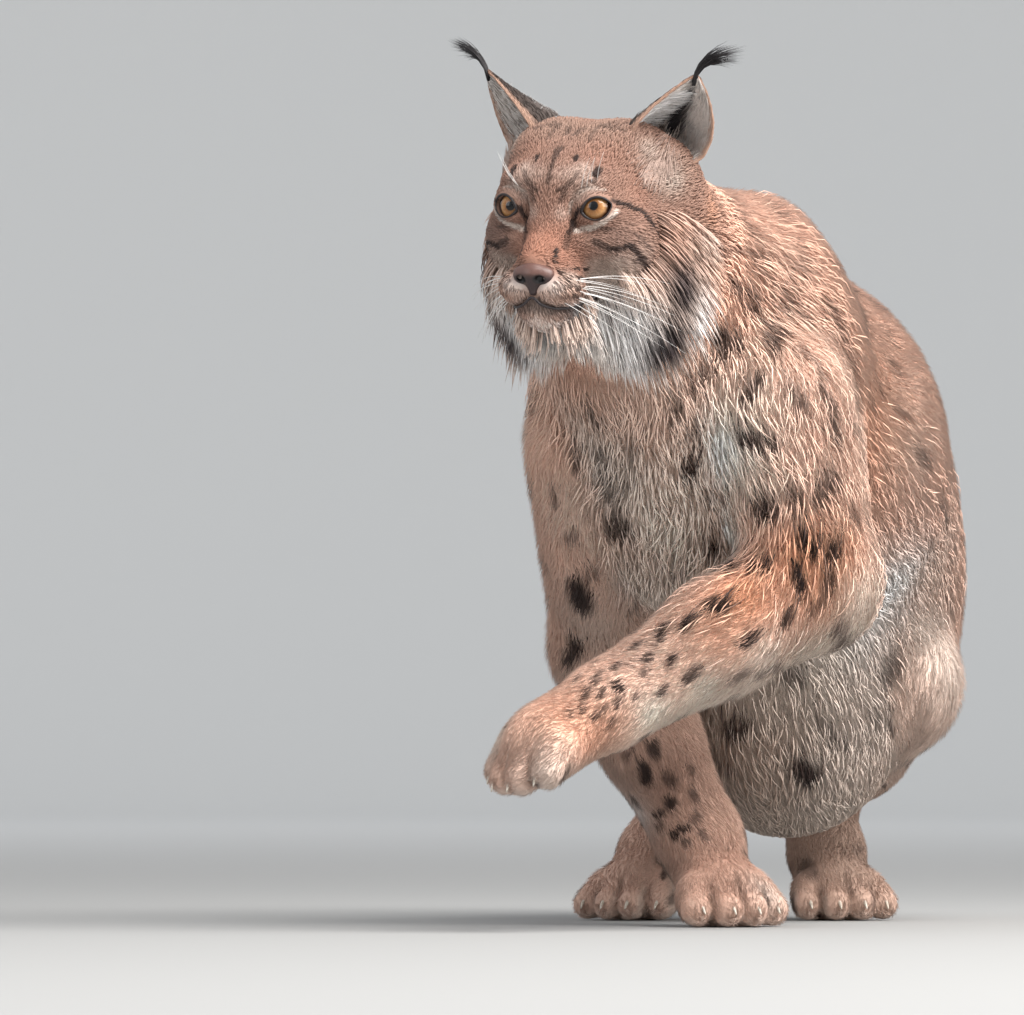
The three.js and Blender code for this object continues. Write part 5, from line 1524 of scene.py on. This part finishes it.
# The lid margins: a thin black wet rim round each opening, drawn out at the inner corner into the tear duct, and
# wider on top, where the black is partly painted shade of the upper lid.
def speckled(name, roughness, scale, detail, low, high, **fixed):
    """A material of two close colours in fine noise. low and high are each a place on a ramp and a colour."""
    look, shader, place = material(name, roughness, **fixed)
    grain = place.node("TexNoise", {}, Vector=place, Scale=scale, Detail=detail)
    feed(shader, "Base Color", grain.ramp(low, high))
    return look


margin_look = speckled("lid margin", 0.5, 700.0, 2.0, (0.3, srgb(24, 16, 16)), (0.8, srgb(44, 32, 31)))


def tube(path, radius, turns=8, closed=False):
    """A round tube along a path, its radius given at each point: rings across the run, a flat face at each end."""
    path = np.asarray(path, float)
    run = np.roll(path, -1, 0) - np.roll(path, 1, 0) if closed else np.gradient(path, axis=0)
    run = unit(run)
    first = unit(np.cross(run, (0.3, 0.2, 0.93)))
    second = np.cross(run, first)
    t = np.linspace(0, 2 * math.pi, turns, endpoint=False)
    radius = np.broadcast_to(radius, len(path))[:, None, None]
    rings = path[:, None] + radius * (
        first[:, None] * np.cos(t)[None, :, None] + second[:, None] * np.sin(t)[None, :, None]
    )
    index = np.arange(len(path) * turns).reshape(len(path), turns)
    beside = np.roll(index, -1, axis=1)
    if closed:
        ahead, ahead_beside = np.roll(index, -1, axis=0), np.roll(beside, -1, axis=0)
        faces = np.stack([index, beside, ahead_beside, ahead], axis=-1).reshape(-1, 4).tolist()
        return rings.reshape(-1, 3), faces
    faces = np.stack([index[:-1], beside[:-1], beside[1:], index[1:]], axis=-1).reshape(-1, 4).tolist()
    faces += [index[0, ::-1].tolist(), index[-1].tolist()]
    return rings.reshape(-1, 3), faces


def joined_meshes(meshes):
    """Several meshes as one list of points and faces."""
    points, faces, count = [], [], 0
    for p, f in meshes:
        points.append(p)
        faces += [tuple(count + n for n in face) for face in f]
        count += len(p)
    return np.concatenate(points), faces


margins = []
for side in (1, -1):
    t = np.linspace(0, 2 * math.pi, 72, endpoint=False)
    u, v = almond(t, -0.15)
    w = np.sqrt(np.maximum((EYE_RADIUS + 0.85 * LID) ** 2 - u**2 - v**2, 4))
    rim = from_eye(side, u, v, w)
    # Wider at the inner corner and on top. The extra width on top is painted shade of the upper lid.
    wide = 0.6 + 0.6 * smooth(-0.5, -1.0, np.cos(t)) + 0.4 * smooth(0.2, 0.9, np.sin(t))
    margins.append(tube(from_head(rim), wide, closed=True))
points, faces = joined_meshes(margins)
new_piece("lid_margins", to_metres(points), faces, margin_look, "eye")


# The nose leather: a pebbled pad, matte brown-pink on top and near black below, with painted shade near black in
# and round the nostrils.
nostril_paths = both(lambda s: limb((4.6 * s, -101, -40), (7.5 * s, -95.5, -38.5), 2.3, 2.8))
nostril_slits = both(lambda s: limb((7.5 * s, -95.5, -38.5), (13.5 * s, -89, -35.5), 2.3, 1.3))


def nose_field(q):
    """The nose pad with both nostrils and the groove under it carved in."""
    d = nose_body(q)
    for cut in (*nostril_paths, *nostril_slits):
        d = carve(d, cut(q), 1.6)
    return carve(d, limb((0, -99.5, -40), (0, -96, -52), 0.7, 0.9)(q), 1.2)


points, faces = meshed(nose_field, (-20, -104, -56), (20, -74, -22), 0.7)
points = settled(evened(points, faces.tolist()), nose_field, 1)
nose_look, shader, place = material("nose leather", 0.42, Coat_Weight=0.15, Coat_Roughness=0.3)
paint = place.node("VertexColor", {"layer_name": "coat"})
pebble = place.node("TexVoronoi", {"feature": "DISTANCE_TO_EDGE"}, 0, Vector=place, Scale=1100.0)
feed(shader, "Base Color", paint.times(pebble.ramp((0.0, (0.55, 0.5, 0.5)), (0.12, (1, 1, 1))), 0.7))
feed(shader, "Normal", place.node("Bump", {}, Strength=0.5, Distance=0.0003, Height=pebble))
nose = new_piece("nose_pad", to_metres(from_head(points)), faces, nose_look, "nose_leather", ["nose"])
colour = mixed(
    np.tile(srgb(104, 74, 66), (len(points), 1)), srgb(56, 40, 40), smooth(-33, -38.5, points[:, 2])
)
# Painted shade: near black in and round the nostrils.
slit = np.min([cut(points) for cut in (*nostril_paths, *nostril_slits)], axis=0)
colour = mixed(colour, srgb(16, 11, 12), smooth(2.0, 0.2, slit))
painted(nose, "coat", colour)

# The lips: a dark soft edge along the whole mouth, thickest under the nose.
lips_look = speckled("lips", 0.5, 600.0, 3.0, (0.3, srgb(34, 28, 30)), (0.8, srgb(62, 52, 53)))
lip = eased(whole_mouth, 80)
aside = np.abs(lip[:, 0])
lip = lip + unit(lip - (0, -40, -50)) * (-0.3 + 0.6 * smooth(34, 20, aside))[:, None]
points, faces = tube(from_head(lip), 0.45 + 0.6 * smooth(36, 12, aside), 8)
new_piece("lips", to_metres(points), faces, lips_look, "nose_leather")


# The ears: thin curved cups of skin, dark behind with an orange-tan rim, with pale hair inside, a black
# patch in the hollow, and a long black tuft at the tip.
EAR_ROOT = np.array([54.0, 13.0, 42.0])
EAR_TIP = np.array([86.0, 6.0, 107.0])
EAR_WIDTH = 61
EAR_LEVELS = [-0.3, -0.06, 0.15, 0.35, 0.55, 0.73, 0.87, 0.96, 1.0]
EAR_HALF = [0.45, 0.78, 1, 0.98, 0.82, 0.58, 0.34, 0.15, 0.03]
EAR_BEND = [115, 110, 100, 88, 74, 62, 52, 45, 42]
EAR_WALL = [7, 6.5, 6, 5, 4.5, 4, 3.5, 3, 1.5]
ear_up = unit(EAR_TIP - EAR_ROOT)
ear_facing = np.array([0.72, -0.69, 0.0])
ear_facing = unit(ear_facing - (ear_facing @ ear_up) * ear_up)
ear_across = np.cross(ear_up, ear_facing)
ear_across = ear_across * np.sign(ear_across[0])


def ear_point(v, around, through):
    """
    A point of the ear's wall: v from root to tip, around from -1 at the inner edge to 1 at the outer one, and
    through from -1 in the hollow to 1 behind. Each level is an arc of radius r that opens to the front and side.
    """
    half = np.interp(v, EAR_LEVELS, EAR_HALF)
    alpha = np.radians(np.interp(v, EAR_LEVELS, EAR_BEND))
    wall = np.interp(v, EAR_LEVELS, EAR_WALL) * 0.55
    r = EAR_WIDTH / 2 * half / np.sin(np.minimum(alpha, math.pi / 2))
    lean = np.where(v < 0.15, 22 * (v - 0.15), 3 * np.sin(3 * (v - 0.15)))
    centre = EAR_ROOT + np.multiply.outer(v * np.linalg.norm(EAR_TIP - EAR_ROOT), ear_up)
    centre = centre + np.multiply.outer(lean, ear_across)
    phi = alpha * around
    rho = np.maximum(r + through * wall / 2 * np.sqrt(np.maximum(1 - 0.75 * around**4, 0.1)), 0.3)
    sideways = np.multiply.outer(rho * np.sin(phi), ear_across)
    return centre + sideways + np.multiply.outer(r * np.cos(alpha) - rho * np.cos(phi), ear_facing)


EAR_BLACK = srgb(38, 33, 36)
EAR_RIM = srgb(186, 150, 130)
EAR_GREY = srgb(190, 182, 178)
EAR_WHITE = srgb(246, 242, 240)
EAR_BASE = srgb(206, 192, 184)
ear_look, shader, place = material("ear skin", 0.8)
paint = place.node("VertexColor", {"layer_name": "coat"})
fine_hair = place.node("TexNoise", {}, Vector=place, Scale=1200.0, Detail=2.0)
feed(shader, "Base Color", paint.times(fine_hair.ramp((0.3, (0.5, 0.45, 0.42)), (0.7, (1, 1, 1))), 0.4))
feed(shader, "Normal", place.node("Bump", {}, Strength=0.4, Distance=0.0005, Height=fine_hair))


def ear_colour(v, around, through):
    """Black in the hollow's outer part, grey inside, tan at the rim, and dark behind with a paler middle."""
    inside = through < 0
    back = mixed(
        np.tile(srgb(58, 46, 40), (len(v), 1)), EAR_GREY,
        0.6 * np.exp(-((around / 0.35) ** 2) - ((v - 0.4) / 0.2) ** 2),
    )
    hollow = np.tile(srgb(226, 218, 212), (len(v), 1))
    black = np.exp(-(((around - 0.12 + 0.4 * (v - 0.4)) / 0.2) ** 2))
    black = black * smooth(-0.1, 0.1, v) * smooth(0.85, 0.6, v)
    hollow = mixed(hollow, EAR_BLACK, np.minimum(1.3 * black, 1))
    found = np.where(inside[:, None], hollow, back)
    rim = smooth(0.86, 0.97, np.abs(around)) * smooth(-0.2, 0.1, v) + smooth(0.9, 0.96, v)
    found = mixed(found, EAR_RIM, np.minimum(rim, 1))
    low = smooth(0.12, -0.1, v)
    return mixed(found, TAN, low * ~inside)


def ear_hairs(v, around, through, length, lean, lift, random, wide, colour, shares=(0.85, 1.05), rings=2):
    """
    Hairs on the ear. lean is their direction as steps of (v, around), lift how far their tips stand off the
    wall, outwards behind and into the hollow inside.
    """
    here = ear_point(v, around, through)
    step = 0.04
    ahead = ear_point(v + step * lean[0], around + step * lean[1], through)
    way = unit(ahead - here)
    off = ear_point(v, around, through + 0.5 * np.sign(through + 1e-6)) - here
    off = unit(off)
    t = np.linspace(0, 1, rings + 1)[None, :, None]
    spine = here[:, None] - 0.6 * off[:, None] + way[:, None] * length[:, None, None] * t
    spine = spine + off[:, None] * (0.6 + lift[:, None, None]) * np.sqrt(t)
    across, out = laid(spine, off[:, None])
    taper = np.interp(t[0, :, 0], [0, 0.4, 1], [0.7, 1, 0])
    wide = wide * random.uniform(0.7, 1.2, (len(v), 1)) * taper
    flat = np.stack([(around + 1) / 2 + 1.1 * (through > 0), (v + 0.3) / 1.3], axis=1)
    return spine, across, out, wide, 0.35 * wide, tuft_colours(colour, random, rings, *shares), flat


# Hairs in the hollow: short ones in its colours, long white ones across it and pale brown ones at its base
HOLLOW_HAIRS = [
    (700, (0.0, 0.85), (-0.9, 0.9), -1, 11, (0.7, 1.3), (1, 0.3), (0.5, 2), 0.9),
    (800, (0.0, 0.72), (-0.95, -0.3), -1, 20, (0.6, 1.2), (0.25, 1.6), (2, 7), 0.8, EAR_WHITE, (0.8, 1.0)),
    (520, (-0.2, 0.15), (-0.8, 0.9), -1, 17, (0.6, 1.2), (1, -0.3), (2, 6), 0.9, EAR_BASE),
]


def ear_patch(
    random, count, levels, arcs, through, length, spread, lean, lift, wide, colour=None, fade=None
):
    """
    A patch of hairs scattered over ranges of levels and of the arc, in or behind the ear. Lengths vary by
    spread, and lift by its own range. Without a colour a hair takes the ear's, and fade darkens each by chance.
    """
    v = random.uniform(*levels, count)
    around = random.uniform(*arcs, count)
    through = np.full(count, float(through))
    colours = ear_colour(v, around, through) if colour is None else np.tile(colour, (count, 1))
    if fade:
        colours = colours * random.uniform(*fade, (count, 1))
    long = length * random.uniform(*spread, count)
    return ear_hairs(v, around, through, long, lean, random.uniform(*lift, count), random, wide, colours)


for side, name in ((1, "left"), (-1, "right")):
    levels = np.linspace(-0.3, 1.0, 40)
    arc = np.linspace(-1, 1, 25)
    loop = np.concatenate([np.stack([arc, np.ones(25)], 1), np.stack([arc[::-1], -np.ones(25)], 1)])
    v = np.repeat(levels, len(loop))
    around, through = np.tile(loop[:, 0], len(levels)), np.tile(loop[:, 1], len(levels))
    wall = from_head(ear_point(v, around, through) * (side, 1, 1))
    index = np.arange(len(v)).reshape(len(levels), len(loop))
    beside = np.roll(index, -1, axis=1)
    faces = np.stack([index[:-1], beside[:-1], beside[1:], index[1:]], axis=-1).reshape(-1, 4)
    faces = faces if side > 0 else faces[:, ::-1]
    faces = faces.tolist() + [index[0, ::side * -1].tolist(), index[-1, ::side].tolist()]
    ear = new_piece("ear_cup_" + name, to_metres(wall), faces, ear_look, "ear_coat", ["ear_" + name])
    painted(ear, "coat", ear_colour(v, around, through))

    random = np.random.default_rng(31 + side)
    behind = ear_patch(
        random, 1100, (-0.1, 0.95), (-0.92, 0.92), 1, 7, (0.7, 1.2), (1, 0.1), (0.4, 1.2), 1.0
    )

    # Hairs round the rim, on both edges of the wall
    count = 900
    v = random.uniform(-0.05, 0.97, count)
    around = np.where(random.uniform(0, 1, count) < 0.5, -1, 1) * random.uniform(0.86, 1.0, count)
    through = random.uniform(-1, 1, count)
    long = 5.5 * random.uniform(0.7, 1.2, count)
    lift = random.uniform(0.2, 0.9, count)
    rim = ear_hairs(v, around, through, long, (1, 0), lift, random, 0.8, np.tile(EAR_RIM, (count, 1)))

    groups = [behind, rim]
    groups += [ear_patch(random, *row) for row in HOLLOW_HAIRS]

    # Hairs of the crown that lie up against the ear's foot
    count = 420
    low = from_head(np.array([49, -4, 30.0]) * (side, 1, 1) + random.normal(0, 1, (count, 3)) * (13, 9, 7))
    roots, outwards = nearest_skin(low)
    q = in_head(roots) * (side, 1, 1)
    way = unit((EAR_ROOT + 0.42 * (EAR_TIP - EAR_ROOT) + 9 * ear_facing - q) * (0.6, 1, 1))
    t = np.linspace(0, 1, 3)[None, :, None]
    long = 13 * random.uniform(0.6, 1.15, count)
    spine = q[:, None] + way[:, None] * long[:, None, None] * t
    spine = spine + (ear_facing * 4)[None, None] * np.sqrt(t) * (1 - t) + ear_facing * 1.5 * t
    across, out = laid(spine, np.broadcast_to(ear_facing, spine.shape))
    wide = 0.8 * random.uniform(0.7, 1.2, (count, 1)) * np.interp(t[0, :, 0], [0, 0.4, 1], [0.7, 1, 0])
    colour = np.tile(srgb(168, 144, 132), (count, 1)) * random.uniform(0.75, 1.1, (count, 1))
    colours = tuft_colours(colour, random, 2, 0.85, 1.1)
    groups.append((spine, across, out, wide, 0.35 * wide, colours, unwrapped(roots) - (1.1, 0)))

    # The long tuft at the tip: a fan of black hairs that lean outwards and back
    count = 130
    fan = random.uniform(-0.5, 0.5, count)
    swing = random.normal(0, 0.05, (count, 3))
    long = 44 * (1 - 0.5 * np.abs(fan)) * random.uniform(0.75, 1.05, count)
    start = EAR_TIP + np.stack([-1.0 + 3 * swing[:, 0], fan * 4, -8 + random.uniform(0, 4, count)], axis=1)
    way = unit(np.stack([0.74 + 0 * fan, 0.22 + 0.5 * fan, 0.42 - 0.42 * fan], axis=1) + swing)
    middle = EAR_TIP + np.stack([3 + 0 * fan, fan * 4, 15 + 0 * fan], axis=1) + 10 * swing
    end = EAR_TIP + way * long[:, None]
    t = np.linspace(0, 1, 6)[None, :, None]
    spine = start[:, None] * (1 - t) ** 2 + 2 * middle[:, None] * t * (1 - t) + end[:, None] * t**2
    across, out = laid(spine, np.broadcast_to(np.array([0.2, -0.9, 0.3]), spine.shape))
    wide = 1.0 * random.uniform(0.6, 1.2, (count, 1)) * np.interp(t[0, :, 0], [0, 0.4, 1], [1, 0.8, 0])
    flat = np.stack([fan, random.uniform(0, 1, count)], axis=1)
    colours = tuft_colours(np.tile(EAR_BLACK * 0.6, (count, 1)), random, 5, 0.9, 1.1)
    tuft = (spine, across, out, wide, 0.4 * wide, colours, flat)
    for part, group in (("hair", groups), ("tuft", [tuft])):
        spine, across, out, wide, thick, colours, flat = (np.concatenate(arrays) for arrays in zip(*group))
        spine = from_head(spine * (side, 1, 1))
        across, out = (from_head(ways * (side, 1, 1)) - HEAD_AT for ways in (across, out))
        piece_name = "ear_" + part + "_" + name
        coat_piece(piece_name, spine, across * side, out, wide, thick, colours, flat, "ear_coat")


# The whiskers: stiff white hairs in four rows on each side of the muzzle, that sweep out, back and down.
whisker_look = speckled("whisker", 0.4, 60.0, 2.0, (0.3, srgb(214, 208, 204)), (0.7, srgb(245, 243, 240)))
random = np.random.default_rng(41)
hairs = []
for side in (1, -1):
    for row in range(4):
        for n in range(4):
            start = np.array([17 + 4.0 * n, -89 + 4.2 * n + 0.6 * row, -40 - 4.2 * row]) * (side, 1, 1)
            length = (40 + 9 * n) * random.uniform(0.8, 1.15)
            way = np.array([0.86 * side, 0.42 + 0.12 * n, 0.12 - 0.16 * row])
            way = unit(way + random.normal(0, 0.07, 3))
            t = np.linspace(0, 1, 12)[:, None]
            path = start + way * length * t + np.array([0.1 * side, 0.35, -0.42]) * length * t**2 * 0.75
            hairs.append(tube(from_head(path), 0.36 * (1 - 0.85 * t[:, 0]), 5))
    for n in range(4):
        start = np.array([26 + 3.0 * n, -62 + 2.5 * n, 27 + 1.0 * n]) * (side, 1, 1)
        way = unit(np.array([0.25 * side, -0.55, 0.8]) + random.normal(0, 0.08, 3))
        t = np.linspace(0, 1, 9)[:, None]
        path = start + way * 26 * t + np.array([0.1 * side, 0.5, 0.1]) * 14 * t**2
        hairs.append(tube(from_head(path), 0.26 * (1 - 0.85 * t[:, 0]), 5))
points, faces = joined_meshes(hairs)
new_piece("whiskers", to_metres(points), faces, whisker_look, "whisker")


# The claws: small curved points of pale horn, drawn back into the fur so that only their ends show at a toe.
horn_low, horn_high = (0.3, srgb(184, 170, 152)), (0.75, srgb(226, 218, 206))
claw_look = speckled("claw", 0.35, 400.0, 2.0, horn_low, horn_high, Coat_Weight=0.3)
claws = []
for place, size in PAW_FRAMES:
    for n in TOES:
        fore, aside = toe_tip(n)
        t = np.linspace(0, 1, 8)
        path = np.array([place(fore + 0.075 + 0.09 * s, aside, (17 - 2 * s - 5 * s * s) * size) for s in t])
        claws.append(tube(path, 1.9 * np.sqrt(1.04 - t), 8))
points, faces = joined_meshes(claws)
new_piece("claws", to_metres(points), faces, claw_look, "claw")


# A plain pale floor that curves up into a low round wall far off, soft daylight from above, and the view of the
# photograph. The wall stands farther off than any camera, so it hides the model from none.
FLOOR_REACH = 9.5
WALL_CURVE = 2.5
WALL_SIDES = 96
ground, shader, stage_place = material("pale studio floor", 0.9)
# The floor runs from a darker grey near the middle to pale far off. The paler far floor and wall are painted
# light, as the lamps reach them less.
far_off = stage_place.node("VectorMath", {"operation": "LENGTH"}, 1, _0=stage_place)
feed(shader, "Base Color", far_off.step(1.0, 8.0).ramp((0.0, (0.33, 0.33, 0.325)), (1.0, (0.8, 0.8, 0.79))))
rise = np.linspace(0, math.pi / 2, 16)
flat_part = np.linspace(0.1, FLOOR_REACH, 12)[:-1]
reach = np.concatenate([flat_part, FLOOR_REACH + WALL_CURVE * np.sin(rise), [FLOOR_REACH + WALL_CURVE]])
height = np.concatenate([np.zeros(11), WALL_CURVE * (1 - np.cos(rise)), [WALL_CURVE + 1.5]])
turn = np.linspace(0, 2 * math.pi, WALL_SIDES, endpoint=False)
ones = np.ones(WALL_SIDES)
flat = np.stack(
    [np.outer(reach, np.cos(turn)), np.outer(reach, np.sin(turn)), np.outer(height, ones)], axis=-1
)
flat = flat.reshape(-1, 3)
index = np.arange(len(flat)).reshape(len(reach), WALL_SIDES)
beside = np.roll(index, -1, axis=1)
quads = np.stack([index[:-1], index[1:], beside[1:], beside[:-1]], axis=-1).reshape(-1, 4).tolist()
quads += [index[0].tolist()]
mesh = bpy.data.meshes.new("studio_floor")
mesh.from_pydata(flat, [], quads)
mesh.polygons.foreach_set("use_smooth", [True] * len(mesh.polygons))
studio_floor = bpy.data.objects.new("studio_floor", mesh)
studio_floor.data.materials.append(ground)
bpy.context.scene.collection.objects.link(studio_floor)

world = bpy.data.worlds.new("soft daylight")
bpy.context.scene.world = world
world.use_nodes = True
world.node_tree.nodes["Background"].inputs["Color"].default_value = (0.93, 0.96, 1.0, 1)
world.node_tree.nodes["Background"].inputs["Strength"].default_value = 0.62


def soft_light(name, at, aimed, size, power, colour):
    """A square lamp, size metres wide, aimed at a point."""
    lamp = bpy.data.lights.new(name, "AREA")
    lamp.shape = "SQUARE"
    lamp.size = size
    lamp.energy = power
    lamp.color = colour
    thing = bpy.data.objects.new(name, lamp)
    thing.location = at
    thing.rotation_euler = (Vector(aimed) - Vector(at)).to_track_quat("-Z", "Y").to_euler()
    bpy.context.scene.collection.objects.link(thing)


soft_light("sky", (1.7, -1.3, 3.1), (0, 0, 0.3), 2.4, 200, (1.0, 0.97, 0.94))
soft_light("right_sky", (3.3, -1.0, 2.0), (0, 0.1, 0.35), 2.6, 130, (1.0, 0.98, 0.96))
soft_light("left_fill", (-2.6, -2.6, 1.6), (0, -0.2, 0.4), 2.0, 28, (0.95, 0.97, 1.0))

camera = bpy.data.cameras.new("view")
camera.sensor_width = 36.0
camera.lens = PIXELS * camera.sensor_width / 1024
camera.clip_end = 60
viewer = bpy.data.objects.new("view", camera)
viewer.location = to_metres(CAMERA_AT)
viewer.rotation_euler = Vector(aim).to_track_quat("-Z", "Y").to_euler()
bpy.context.scene.collection.objects.link(viewer)
bpy.context.scene.camera = viewer
bpy.context.scene.view_settings.view_transform = "Standard"
